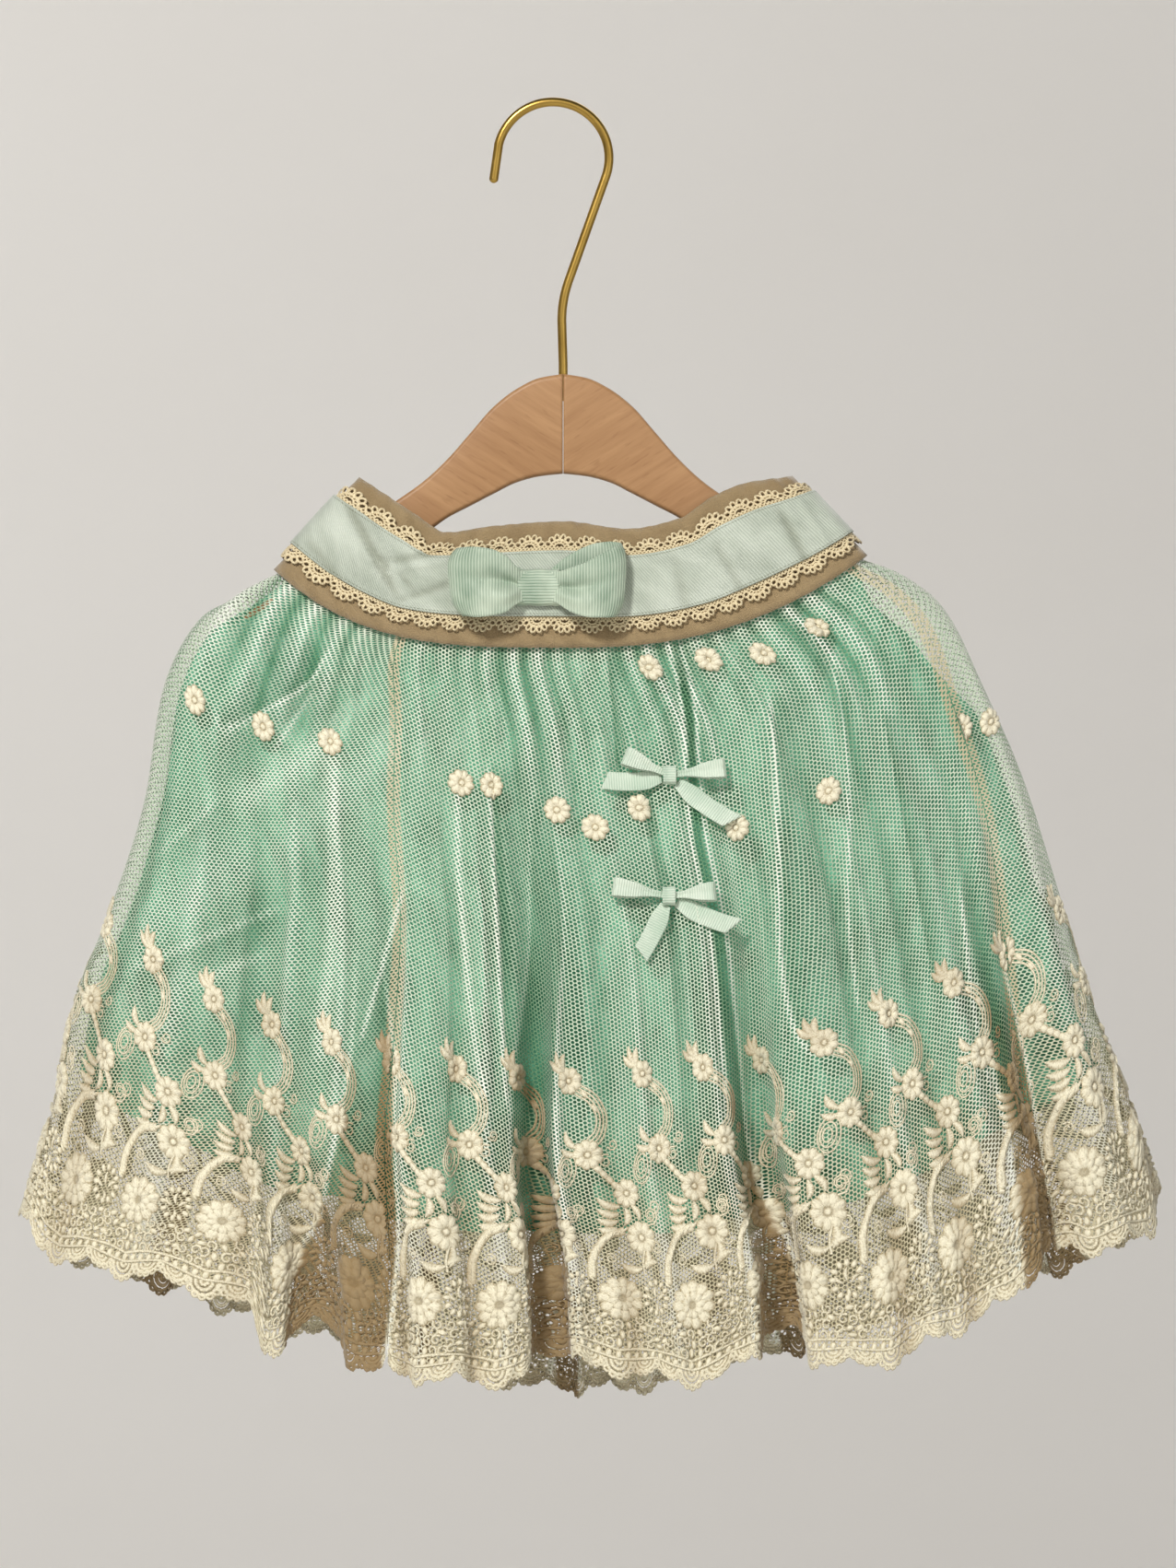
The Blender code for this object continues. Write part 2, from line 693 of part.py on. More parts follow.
def loop_outline(length, height, pinch):
    """A bow's loop seen edge on, as runs out and lifts: along its back, round, and home in front."""
    radius = height / 2
    outline = [(length * run, 0.0) for run in (0.0, 0.3, 0.6)]
    for i in range(5):
        turn = math.pi * (i / 4 - 0.5)
        outline.append((length - radius + radius * math.cos(turn), radius + radius * math.sin(turn)))
    for run in (0.6, 0.3, 0.0):
        swell = float(smoothstep(0.15, 0.9, run))
        outline.append((length * run, pinch + (height - pinch) * swell))
    return outline


def build_loop(name, frame, start, reach, rise, lift, size, grosgrain):
    """A loop of ribbon from the knot towards reach and rise."""
    length = math.hypot(reach, rise)
    along = (reach / length, rise / length)
    cross = (-along[1], along[0], 0.0)
    path = []
    halves = []
    for out, height in loop_outline(length - start, size["height"], size["pinch_lift"]):
        run = start + out
        path.append((along[0] * run, along[1] * run, lift + height))
        full = float(smoothstep(size["flare_start"], 0.85, run / length))
        halves.append((size["pinch"] + (size["width"] - size["pinch"]) * full) / 2)
    ribbon(name, frame, path, halves, cross, size["wall"], grosgrain, size["cuts"])


def build_knot(name, frame, size, grosgrain):
    """The short ribbon wrapped over the pinched middle."""
    half = size["knot_height"] / 2
    path = []
    for i in range(9):
        turn = math.pi * i / 8
        rise = size["knot_lift"] - size["knot_foot"]
        path.append((0.0, -half * math.cos(turn), size["knot_foot"] + rise * math.sin(turn) ** 0.6))
    ribbon(name, frame, path, [size["knot_width"] / 2] * 9, (-1, 0, 0), size["wall"], grosgrain, size["cuts"])


def build_belt_bow(grosgrain):
    place = np.array([BELT_BOW_PLACE])
    centre = band_form(place, BELT_BOW_DROP_SHARE)[0]
    right = band_form(place + 0.02, BELT_BOW_DROP_SHARE)[0] - centre
    right[2] = 0
    frame = Frame(centre, right, band_form(place, BELT_BOW_DROP_SHARE - 0.2)[0] - centre)
    frame.origin = frame.origin + frame.out * BELT_BOW_STAND
    for side, sign in (("left", -1), ("right", 1)):
        span = sign * BELT_BOW_HALF_SPANS[side]
        build_loop(f"belt_bow_loop_{side}", frame, 0.8, span, 0.0, 0.0, BELT_BOW, grosgrain)
    build_knot("belt_bow_knot", frame, BELT_BOW, grosgrain)


def build_small_bow(name, plan, grosgrain):
    """A small bow on the net: tails underneath, loops on them and the knot over both."""
    frame = front_frame(plan["across"], plan["drop"])
    half = SMALL_BOW["width"] / 2
    for side in ("left", "right"):
        reach, rise = plan[f"loop_{side}"]
        build_loop(f"{name}_loop_{side}", frame, 1.2, reach, rise, SMALL_BOW_LOOP_LIFT, SMALL_BOW, grosgrain)
        reach, rise = plan[f"tail_{side}"]
        length = math.hypot(reach, rise)
        cross = (-rise / length, reach / length, 0.0)
        runs = np.linspace(TAIL_START, 1, 5)
        path = [(reach * run, rise * run - TAIL_SAG * run * (1 - run) * 4, 0.0) for run in runs]
        halves = [SMALL_BOW["pinch"] / 2 + (half - SMALL_BOW["pinch"] / 2) * min(1.0, run * 3) for run in runs]
        ribbon(f"{name}_tail_{side}", frame, path, halves, cross, SMALL_BOW["wall"], grosgrain, 2)
    build_knot(f"{name}_knot", frame, SMALL_BOW, grosgrain)


def front_frame(across, drop):
    """A frame on the front net whose back plane clears every net point near it."""
    _, outer = net_panel_rows("front")
    outer = np.array(outer)
    rise = outer[..., 2] + drop
    near = np.abs(outer[..., 0] - across) < BOW_REACH["across"]
    near &= (rise < BOW_REACH["above"]) & (rise > -BOW_REACH["below"])
    depth = (outer[..., 1] - BOW_LEAN * (outer[..., 2] + drop))[near].min()
    stand = depth - SEAM_GAP - SMALL_BOW["wall"] / 2
    return Frame((across, stand, -drop), (1, 0, 0), (0, BOW_LEAN, 1))


def net_tree():
    """The outer sides of the two net walls as built, for what lies on them."""
    points = []
    faces = []
    for panel in NET_PANELS:
        rows = np.array(net_panel_rows(panel)[1]) * MM
        count = rows.shape[1]
        start = len(points)
        points.extend(Vector(point) for point in rows.reshape(-1, 3))
        for row in range(len(rows) - 1):
            for i in range(count - 1):
                first = start + row * count + i
                faces.append((first, first + count, first + count + 1, first + 1))
    return BVHTree.FromPolygons(points, faces)


def seat_direction(tree, centre, towards):
    """The cloth's own outward direction under a flower, level across its gathers."""
    total = Vector()
    for turn in np.linspace(0, 2 * math.pi, 12, endpoint=False):
        spot = centre + np.array((math.cos(turn), 0.0, math.sin(turn))) * FLOWER_RADIUS
        hit = tree.ray_cast(Vector(spot * MM + towards * SIGHT), Vector(-towards))
        if hit[0] is not None:
            total += hit[1] * math.copysign(1, hit[1].dot(Vector(towards)))
    return np.array(total.normalized())


def build_flower(name, tree, across, drop, towards, stitch):
    """A raised five-petalled flower on the gathers' crests, where it shows from front or back."""
    sight = Vector(np.array((across, 0.0, -drop)) * MM + towards * SIGHT)
    centre = np.array(tree.ray_cast(sight, Vector(-towards))[0]) / MM
    outward = seat_direction(tree, centre, towards)
    side = np.cross(np.array((0.0, 0.0, 1.0)), outward)
    side /= np.linalg.norm(side)
    up = np.cross(outward, side)
    builder = bmesh.new()
    disc = bmesh.ops.create_cone(
        builder, cap_ends=True, cap_tris=True, segments=10, radius1=1, radius2=1, depth=FLOWER_WALL
    )
    reach = 30.0
    crest = -reach
    for turn in np.linspace(0, 2 * math.pi, 20, endpoint=False):
        for radius in (FLOWER_RADIUS, FLOWER_RADIUS / 2):
            spot = centre + (side * math.cos(turn) + up * math.sin(turn)) * radius
            hit = tree.ray_cast(Vector((spot + outward * reach) * MM), Vector(-outward))
            if hit[0] is not None:
                crest = max(crest, reach - hit[3] / MM)
    for vertex in disc["verts"]:
        turn = math.atan2(vertex.co.y, vertex.co.x)
        step = round(turn / (math.pi / 5)) % 10
        radius = FLOWER_RADIUS if step % 2 == 0 else FLOWER_HEART
        radius *= math.hypot(vertex.co.x, vertex.co.y) * (0.86 if vertex.co.z > 0 else 1.0)
        height = crest + FLOWER_LIFT + (FLOWER_WALL if vertex.co.z > 0 else 0)
        spot = centre + (up * math.cos(turn) - side * math.sin(turn)) * radius
        vertex.co = Vector((spot + outward * height) * MM)
    if builder.calc_volume(signed=True) < 0:
        bmesh.ops.reverse_faces(builder, faces=builder.faces[:])
    mesh = bpy.data.meshes.new(name)
    builder.to_mesh(mesh)
    builder.free()
    linked(bpy.data.objects.new(name, mesh), stitch)


def build_flowers(stitch):
    tree = net_tree()
    front = np.array((0.0, -1.0, 0.0))
    for number, (across, drop) in enumerate(FRONT_FLOWERS, 1):
        build_flower(f"flower_front_{number:02d}", tree, across, drop, front, stitch)
    for number, place in enumerate(BACK_FLOWER_PLACES, 1):
        point = skirt_form(np.array([place]), BACK_FLOWER_SHARE)[0]
        build_flower(f"flower_back_{number:02d}", tree, point[0], -point[2], -front, stitch)


def board_outline(side):
    """Rows of the board's middle sheet, from its joint out to its tip."""
    rows = []
    for out, _, _ in BOARD:
        at = out if out > 0 else SEAM_GAP / 2
        x = HANGER_JOINT + side * at
        top = float(BOARD_EDGE["top"](out))
        bottom = float(BOARD_EDGE["bottom"](out))
        rows.append(np.column_stack(([x] * 3, [0.0] * 3, -np.linspace(top, bottom, 3))))
    return rows


def build_board(name, side, wood, cutter):
    """Half of the hanger, its edges rounded except at the glued joint."""
    board = sheet_mesh(name, board_outline(side))
    half = HANGER_THICKNESS / 2 * MM
    builder = bmesh.new()
    builder.from_mesh(board.data)
    front = builder.faces[:]
    for vertex in builder.verts:
        vertex.co.y = -half
    grown = bmesh.ops.extrude_face_region(builder, geom=front)
    for item in grown["geom"]:
        if isinstance(item, bmesh.types.BMVert):
            item.co.y = half
    bmesh.ops.recalc_face_normals(builder, faces=builder.faces[:])
    joint = (HANGER_JOINT + side * SEAM_GAP / 2) * MM
    rim = [
        edge for edge in builder.edges
        if edge.calc_face_angle(0) > math.radians(50)
        and any(abs(vertex.co.x - joint) > MM / 10 for vertex in edge.verts)
    ]
    bmesh.ops.bevel(builder, geom=rim, offset=HANGER_EDGE_ROUND * MM, segments=2, profile=0.5, affect="EDGES")
    builder.to_mesh(board.data)
    builder.free()
    seat = board.modifiers.new("Shank seat", "BOOLEAN")
    seat.operation = "DIFFERENCE"
    seat.object = cutter
    linked(board, wood)


def shank_cutter():
    """The round hole that the shank sits in, half of it in each board."""
    builder = bmesh.new()
    bmesh.ops.create_cone(
        builder, cap_ends=True, segments=12, radius1=(WIRE / 2 + SHANK_CLEARANCE) * MM,
        radius2=(WIRE / 2 + SHANK_CLEARANCE) * MM, depth=2 * SHANK_SEAT_DEPTH * MM,
    )
    mesh = bpy.data.meshes.new("shank_hole")
    builder.to_mesh(mesh)
    builder.free()
    cutter = bpy.data.objects.new("shank_hole", mesh)
    cutter.location = Vector((HANGER_JOINT, 0, -BOARD[0][1])) * MM
    cutter.hide_render = True
    cutter.display_type = "WIRE"
    CUTTERS.objects.link(cutter)
    return cutter


def hook_route():
    """The wire's middle line: tip, crown arc, leaning shank, bend and the upright end."""
    centre = Vector((0, WIRE / 2 - HOOK_RADIUS))
    tip = math.radians(HOOK_TIP_ANGLE)
    end = math.radians(HOOK_SHANK_ANGLE)
    arc = []
    for i in range(19):
        angle = tip + (end - tip) * i / 18
        arc.append(centre + HOOK_RADIUS * Vector((math.cos(angle), math.sin(angle))))
    tip_run = Vector((-0.14, -0.99)) * HOOK_TIP_RUN
    route = [arc[0] + tip_run, arc[0] + tip_run * 0.5, *arc]
    lean = Vector((math.sin(end), -math.cos(end)))
    corner = arc[-1] + lean * ((-SHANK_BEND_DROP - arc[-1].y) / lean.y)
    route.append(corner - lean * SHANK_BEND_RADIUS)
    for i in range(1, 4):
        share = i / 4
        start = corner - lean * SHANK_BEND_RADIUS
        finish = corner + Vector((0, -SHANK_BEND_RADIUS))
        route.append(start.lerp(corner, share).lerp(corner.lerp(finish, share), share))
    route.append(corner + Vector((0, -SHANK_BEND_RADIUS)))
    route.append(Vector((HANGER_JOINT, -BOARD[0][1] + 4.0)))
    route.append(Vector((HANGER_JOINT, -BOARD[0][1] - SHANK_SEAT_DEPTH + SEAM_GAP)))
    return route


def build_hook(brass):
    curve = bpy.data.curves.new("hanger_hook", "CURVE")
    curve.dimensions = "3D"
    curve.bevel_depth = WIRE / 2 * MM
    curve.bevel_resolution = 2
    curve.use_fill_caps = True
    route = hook_route()
    line = curve.splines.new("POLY")
    line.points.add(len(route) - 1)
    for point, place in zip(line.points, route):
        point.co = (place.x * MM, 0, place.y * MM, 1)
    linked(bpy.data.objects.new("hanger_hook", curve), brass)


def build_hanger(wood, brass):
    cutter = shank_cutter()
    build_board("hanger_wood_left", -1, wood, cutter)
    build_board("hanger_wood_right", 1, wood, cutter)
    build_hook(brass)


clear_scene()
PARTS = bpy.data.collections.new("mini_skirt_on_hanger")
CUTTERS = bpy.data.collections.new("cutters")
bpy.context.scene.collection.children.link(PARTS)
bpy.context.scene.collection.children.link(CUTTERS)
BELT_BOW_PLACE = 0.5 + (BELT_BOW_ACROSS - sum(BAND_TOP_ENDS) / 2) / (BAND_TOP_ENDS[1] - BAND_TOP_ENDS[0])

NET_CLOTH = material("ivory_net", (0.72, 0.86, 0.76), 0.8)
SATIN = material("mint_satin", (0.45, 0.82, 0.68), 0.4)
VELVET = material("beige_velvet", (0.66, 0.53, 0.38), 0.9)
GROSGRAIN = material("pale_grosgrain", (0.72, 0.87, 0.81), 0.55)
LACE = material("cream_lace", (0.83, 0.74, 0.56), 0.85)
STITCH = material("ivory_stitch", (0.87, 0.79, 0.63), 0.75)
WOOD = material("light_beech", (0.66, 0.42, 0.25), 0.5)
BRASS = material("satin_brass", (0.72, 0.52, 0.16), 0.3, 1.0)

build_hanger(WOOD, BRASS)
build_waistband(VELVET, GROSGRAIN, LACE)
build_lining("lining_front", 0.0, 1.0, 18, 48, SATIN)
build_lining("lining_back", 1.0, 2.0, 12, 36, SATIN)
build_net_panel("front", NET_CLOTH)
build_net_panel("wrap", NET_CLOTH)
build_belt_bow(GROSGRAIN)
for bow_name, bow_plan in SMALL_BOWS.items():
    build_small_bow(bow_name, bow_plan, GROSGRAIN)
build_flowers(STITCH)
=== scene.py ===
"""Looks for the child's mini skirt of embroidered net over mint satin, on its wooden hanger.

Metres, with +X the viewer's right, -Y the front and +Z up. Tables and sizes are in millimetres; a
drop is measured down from the hook's crown. A share runs from 0 at the waist seam to 1 at the hem,
and a ring place runs 0 to 1 across the front, left to right, and 1 to 2 back across the rear.
"""

import json
import math

import bmesh
import bpy
import numpy as np
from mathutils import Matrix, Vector

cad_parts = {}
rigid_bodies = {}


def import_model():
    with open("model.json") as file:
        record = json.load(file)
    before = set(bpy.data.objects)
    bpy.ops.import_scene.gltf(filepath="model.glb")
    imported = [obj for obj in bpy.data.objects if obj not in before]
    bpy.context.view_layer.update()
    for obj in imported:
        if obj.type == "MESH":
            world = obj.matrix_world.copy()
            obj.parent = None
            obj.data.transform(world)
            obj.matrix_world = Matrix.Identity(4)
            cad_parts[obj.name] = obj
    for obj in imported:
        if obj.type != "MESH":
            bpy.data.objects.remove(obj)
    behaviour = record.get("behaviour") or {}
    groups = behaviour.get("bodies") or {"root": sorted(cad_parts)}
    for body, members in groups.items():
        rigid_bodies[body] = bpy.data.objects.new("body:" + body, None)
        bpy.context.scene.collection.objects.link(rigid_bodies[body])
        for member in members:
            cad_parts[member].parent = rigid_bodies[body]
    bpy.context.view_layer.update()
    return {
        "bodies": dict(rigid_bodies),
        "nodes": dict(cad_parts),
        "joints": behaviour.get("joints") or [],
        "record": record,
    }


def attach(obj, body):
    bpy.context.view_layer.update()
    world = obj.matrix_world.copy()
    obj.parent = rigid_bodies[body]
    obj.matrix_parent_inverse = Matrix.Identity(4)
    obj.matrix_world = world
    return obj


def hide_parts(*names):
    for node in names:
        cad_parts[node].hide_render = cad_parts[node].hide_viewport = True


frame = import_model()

MM = 0.001
TAU = 2 * math.pi

SEAM_GAP = 0.3
CLOTH_LENGTH = 309.0
TUCKED_SHARE = -0.013  # where the cloth ends inside the waistband

NET_WALL = 1.2
LINING_WALL = 1.0
BORDER_TOP = 0.86
BORDER_RAISE = 0.7
BORDER_REPEAT = 36.0
SCALLOP_DEPTH = 4.0
SHOULDER_SLACK = 8.0
LINING_SPREAD = 9.0
NET_CROWDING = 0.4

BASE_WALL = 1.4
LACE_WALL = 0.9
RIBBON_WALL = 0.9
STRIP_GAP = 0.6
BAND_RIM_LIFT = 1.3
TOP_FANS = 32
BOTTOM_FANS = 43

HANGER_THICKNESS = 10.0
HANGER_JOINT = 4.4
HANGER_EDGE_ROUND = 2.2
TIP_ROUND = 2.6
SHANK_SEAT_DEPTH = 12.0

# The hook's wire, with its angles in degrees.
WIRE = 4.0
HOOK_RADIUS = 24.3
HOOK_TIP_ANGLE = 166.0
HOOK_TIP_RUN = 15.0
HOOK_SHANK_ANGLE = -19.6
SHANK_BEND_DROP = 84.0
SHANK_BEND_RADIUS = 9.0

FLOWER_RADIUS = 6.0
BOW_REACH = {"across": 30.0, "above": 13.0, "below": 27.0}
BOW_LEAN = 0.2

# The skirt's rings, one row each: how far down the cloth, where the silhouette's left and right
# ends lie, how low the front hangs in its middle, how deep the front and the back stand from the
# hanger's plane, how square the plan is, and how late the droop begins on each side.
RING_COLUMNS = (
    "share", "left", "left_drop", "right", "right_drop", "centre_drop",
    "front", "back", "squareness", "droop_left", "droop_right",
)
RINGS = (
    (TUCKED_SHARE, -114.7, 200.6, 130.2, 194.0, 232.6, 12.2, 10.8, 4.8, 3.5, 2.4),
    (0.0, -117.4, 203.4, 132.6, 197.2, 236.6, 12.4, 11.0, 4.8, 3.5, 2.4),
    (0.06, -133.0, 212.6, 149.4, 205.0, 255.0, 14.6, 13.4, 4.8, 3.3, 2.4),
    (0.13, -151.6, 223.0, 166.8, 218.2, 276.6, 18.0, 14.8, 4.4, 3.0, 2.4),
    (0.25, -168.2, 254.2, 185.0, 251.4, 313.8, 25.0, 16.4, 3.5, 2.7, 2.3),
    (0.4, -175.8, 300.6, 202.6, 291.8, 360.2, 34.0, 17.5, 3.0, 2.5, 2.3),
    (0.575, -191.4, 350.2, 218.6, 342.6, 414.2, 43.0, 21.5, 2.7, 2.4, 2.2),
    (0.71, -206.2, 387.8, 231.4, 383.8, 456.2, 50.0, 24.5, 2.6, 2.3, 2.2),
    (0.877, -216.6, 438.2, 250.2, 431.8, 507.8, 57.0, 28.0, 2.5, 2.2, 2.1),
    (1.0, -228.2, 473.8, 261.4, 468.2, 545.8, 61.0, 31.0, 2.5, 2.2, 2.1),
)

# The front hem's line, from the left end to the right end.
HEM_COLUMNS = ("across", "drop")
FRONT_HEM = (
    (-228.2, 474.0),
    (-219.0, 491.0),
    (-162.0, 504.0),
    (-138.0, 513.0),
    (-127.0, 534.0),
    (-102.0, 527.0),
    (-80.0, 540.0),
    (-30.0, 545.0),
    (8.0, 537.0),
    (60.0, 545.0),
    (93.0, 531.0),
    (133.0, 539.0),
    (162.0, 528.0),
    (194.0, 510.0),
    (205.0, 495.0),
    (238.0, 489.0),
    (256.0, 483.0),
    (261.4, 468.0),
)
BACK_HEM = (
    (-228.2, 474.0),
    (-212.0, 494.0),
    (-140.0, 520.0),
    (-60.0, 542.0),
    (17.0, 556.0),
    (90.0, 540.0),
    (170.0, 518.0),
    (246.0, 492.0),
    (261.4, 468.0),
)
HEM_BLEND_START = 0.72

# The large folds, one row each: ring places at waist and hem, half widths there, depth at full
# size (a ridge is below zero), and the shares where it begins, is full and has died away.
FOLD_COLUMNS = (
    "waist_place", "hem_place", "waist_half", "hem_half", "depth", "start", "full", "gone",
)
FOLDS = (
    (0.10, 0.276, 8.0, 26.0, 14.0, 0.10, 1.0, 9.0),
    (0.43, 0.468, 7.0, 16.0, 18.0, 0.08, 0.8, 9.0),
    (0.675, 0.656, 10.0, 17.0, 18.5, 0.02, 0.75, 9.0),
    (0.955, 0.885, 6.0, 15.0, 14.0, 0.3, 1.0, 9.0),
    (0.56, 0.56, 8.0, 11.0, 3.4, 0.0, 0.12, 0.32),
    (0.745, 0.73, 8.0, 16.0, -5.0, 0.03, 0.3, 0.9),
    (0.30, 0.385, 7.0, 16.0, -6.0, 0.05, 0.7, 9.0),
    (1.13, 1.12, 8.0, 18.0, 8.0, 0.1, 0.9, 9.0),
    (1.31, 1.30, 8.0, 18.0, 11.0, 0.05, 0.8, 9.0),
    (1.49, 1.50, 8.0, 16.0, 9.0, 0.03, 0.9, 9.0),
    (1.66, 1.67, 8.0, 19.0, 12.0, 0.08, 0.8, 9.0),
    (1.86, 1.85, 8.0, 17.0, 8.0, 0.12, 1.0, 9.0),
)

# How the small gathers swell and how far the lining lies inside the net's wall.
GATHER_COLUMNS = ("share", "net", "lining", "inset")
GATHERS = (
    (TUCKED_SHARE, 0.25, 0.15, 1.0),
    (0.0, 0.4, 0.2, 1.1),
    (0.06, 1.0, 0.4, 2.6),
    (0.13, 1.4, 0.6, 3.3),
    (0.25, 1.9, 0.8, 4.2),
    (0.6, 1.9, 0.8, 4.2),
    (1.0, 1.9, 0.8, 4.0),
)
GATHER_MERGE_START = 0.1
GATHER_MERGE_END = 0.42

# The two net seams, as ring places on the front.
SEAM_COLUMNS = ("share", "left", "right")
NET_SEAMS = (
    (TUCKED_SHARE, 0.22, 0.962),
    (0.0, 0.22, 0.962),
    (0.13, 0.275, 0.952),
    (0.25, 0.295, 0.94),
    (0.575, 0.315, 0.915),
    (1.0, 0.337, 0.875),
)

# The waistband's upper edge: the share across, and the drop of its front and rear.
BAND_EDGE_COLUMNS = ("across", "front_drop", "back_drop")
BAND_TOP = (
    (-1.0, 161.8, 161.8),
    (-0.87, 169.8, 172.0),
    (-0.74, 177.8, 180.0),
    (-0.6, 185.4, 186.5),
    (-0.38, 182.6, 189.0),
    (-0.05, 180.6, 190.0),
    (0.24, 183.8, 189.5),
    (0.48, 179.4, 187.0),
    (0.63, 170.2, 182.0),
    (0.8, 163.8, 174.0),
    (1.0, 161.4, 161.4),
)
BAND_TOP_ENDS = (-83.2, 102.8)
BAND_TOP_DEPTHS = (11.5, 10.5)
BAND_TOP_SQUARENESS = 2.5
BAND_FIT = 2.7
BAND_SQUARENESS = 4.4

# The hanger's half board: how far out from the glued joint, and the drops of its two edges.
BOARD_COLUMNS = ("out", "top", "bottom")
BOARD = (
    (0.0, 116.2, 159.4),
    (10.0, 117.9, 160.5),
    (20.0, 122.6, 163.1),
    (30.0, 130.3, 168.0),
    (40.0, 141.6, 173.2),
    (50.0, 153.0, 178.4),
    (60.0, 162.4, 185.4),
    (75.0, 173.2, 193.0),
    (100.0, 192.5, 211.5),
    (125.0, 211.7, 229.7),
    (138.0, 221.1, 237.6),
    (142.0, 226.0, 235.6),
)

# Places of the embroidered flowers: across and drop on the front, ring places on the back.
FRONT_FLOWERS = (
    (-155.0, 258.0),
    (-124.8, 269.4),
    (-96.0, 276.6),
    (-39.6, 293.4),
    (-26.8, 295.4),
    (1.6, 304.6),
    (18.4, 313.0),
    (37.2, 305.0),
    (79.2, 313.0),
    (118.8, 297.4),
    (147.6, 280.6),
    (189.0, 268.0),
    (42.0, 243.5),
    (67.6, 240.8),
    (90.8, 238.0),
    (114.4, 226.0),
)
BACK_FLOWER_SHARE = 0.2
BACK_FLOWER_PLACES = (1.12, 1.22, 1.32, 1.43, 1.54, 1.65, 1.76, 1.87)

# The small ribbon bows: knot places, then the ends of loops and tails from the knot, as right and up.
SMALL_BOWS = {
    "upper_bow": {
        "across": 50.4,
        "drop": 290.6,
        "loop_left": (-19.5, 8.0),
        "loop_right": (24.0, 2.5),
        "tail_left": (-28.0, -2.0),
        "tail_right": (27.0, -20.0),
    },
    "lower_bow": {
        "across": 50.0,
        "drop": 342.6,
        "loop_left": (-24.0, 3.5),
        "loop_right": (20.0, 1.5),
        "tail_left": (-12.0, -25.0),
        "tail_right": (28.0, -13.0),
    },
}

SMALL_BOW = {
    "width": 8.0,
    "wall": 0.7,
    "height": 4.4,
    "pinch": 2.6,
    "pinch_lift": 1.1,
    "flare_start": 0.2,
    "knot_width": 5.6,
    "knot_height": 7.6,
    "knot_foot": 0.9,
    "knot_lift": 3.9,
}
SMALL_BOW_LOOP_LIFT = 1.2
TAIL_START = 0.12
TAIL_SAG = 1.5
TAIL_CUT = 2.0

# The flat bow on the waistband.
BELT_BOW_DROP_SHARE = 0.53
BELT_BOW_ACROSS = -2.0
BELT_BOW_STAND = 5.2
BELT_BOW = {
    "wall": 0.9,
    "knot_width": 18.0,
    "knot_height": 15.6,
    "knot_foot": 0.2,
    "knot_lift": 4.4,
}


def smooth_reader(places, values):
    """Read a column smoothly between its rows, without overshoot."""
    places = np.asarray(places, float)
    values = np.asarray(values, float)
    steps = np.diff(places)
    slopes = np.diff(values) / steps
    tangents = np.empty_like(values)
    tangents[0] = slopes[0]
    tangents[-1] = slopes[-1]
    before = slopes[:-1]
    after = slopes[1:]
    level = before * after <= 0
    total = np.where(level, 1.0, before + after)
    tangents[1:-1] = np.where(level, 0.0, 2 * before * after / total)

    def read(place):
        place = np.clip(np.asarray(place, float), places[0], places[-1])
        row = np.clip(np.searchsorted(places, place, side="right") - 1, 0, len(steps) - 1)
        along = (place - places[row]) / steps[row]
        rise = along * along * (3 - 2 * along)
        enter = along * (1 - along) ** 2
        leave = along * along * (along - 1)
        bend = steps[row] * (tangents[row] * enter + tangents[row + 1] * leave)
        return values[row] + (values[row + 1] - values[row]) * rise + bend

    return read


def table(columns, rows):
    """A smooth reader for each named column, by the first one."""
    grid = np.array(rows, float)
    return {name: smooth_reader(grid[:, 0], grid[:, i]) for i, name in enumerate(columns)}


def named(columns, rows):
    """A table's rows as dicts by its columns' names."""
    return [dict(zip(columns, row)) for row in rows]


def smoothstep(low, high, value):
    share = np.clip((np.asarray(value, float) - low) / (high - low), 0, 1)
    return share * share * (3 - 2 * share)


def swell(start, full, fading, gone, value):
    """Rises from 0 to 1 between start and full, and dies away between fading and gone."""
    return smoothstep(start, full, value) * (1 - smoothstep(fading, gone, value))


def bell(away, half):
    """A soft peak of height 1, by how far away its middle is and half its width."""
    return np.exp(-((away / half) ** 2))


def waves(place, *rows):
    """A sum of sine waves, each as its size, how many there are and its phase."""
    return sum(size * np.sin(TAU * count * place + phase) for size, count, phase in rows)


def unit(vectors):
    """Vectors made one long."""
    return vectors / np.maximum(np.linalg.norm(vectors, axis=-1, keepdims=True), 1e-9)


def turned(points, angle):
    """Flat points turned by an angle in radians."""
    return points @ np.array(((math.cos(angle), math.sin(angle)), (-math.sin(angle), math.cos(angle))))


def run_lengths(points):
    """How far along a line each of its points lies."""
    return np.concatenate(([0], np.cumsum(np.linalg.norm(np.diff(points, axis=0), axis=1))))


def across_of(points, left, right):
    """How far across points lie between two ends, from -1 to 1."""
    return np.clip((points[:, 0] - (left + right) / 2) / ((right - left) / 2), -1, 1)


RING = table(RING_COLUMNS, RINGS)
HEM_FRONT = table(HEM_COLUMNS, FRONT_HEM)
HEM_BACK = table(HEM_COLUMNS, BACK_HEM)
GATHER = table(GATHER_COLUMNS, GATHERS)
SEAM = table(SEAM_COLUMNS, NET_SEAMS)
BAND_EDGE = table(BAND_EDGE_COLUMNS, BAND_TOP)
BOARD_EDGE = table(BOARD_COLUMNS, BOARD)

HALF_SAMPLES = 400
PLACE_STEP = 0.004


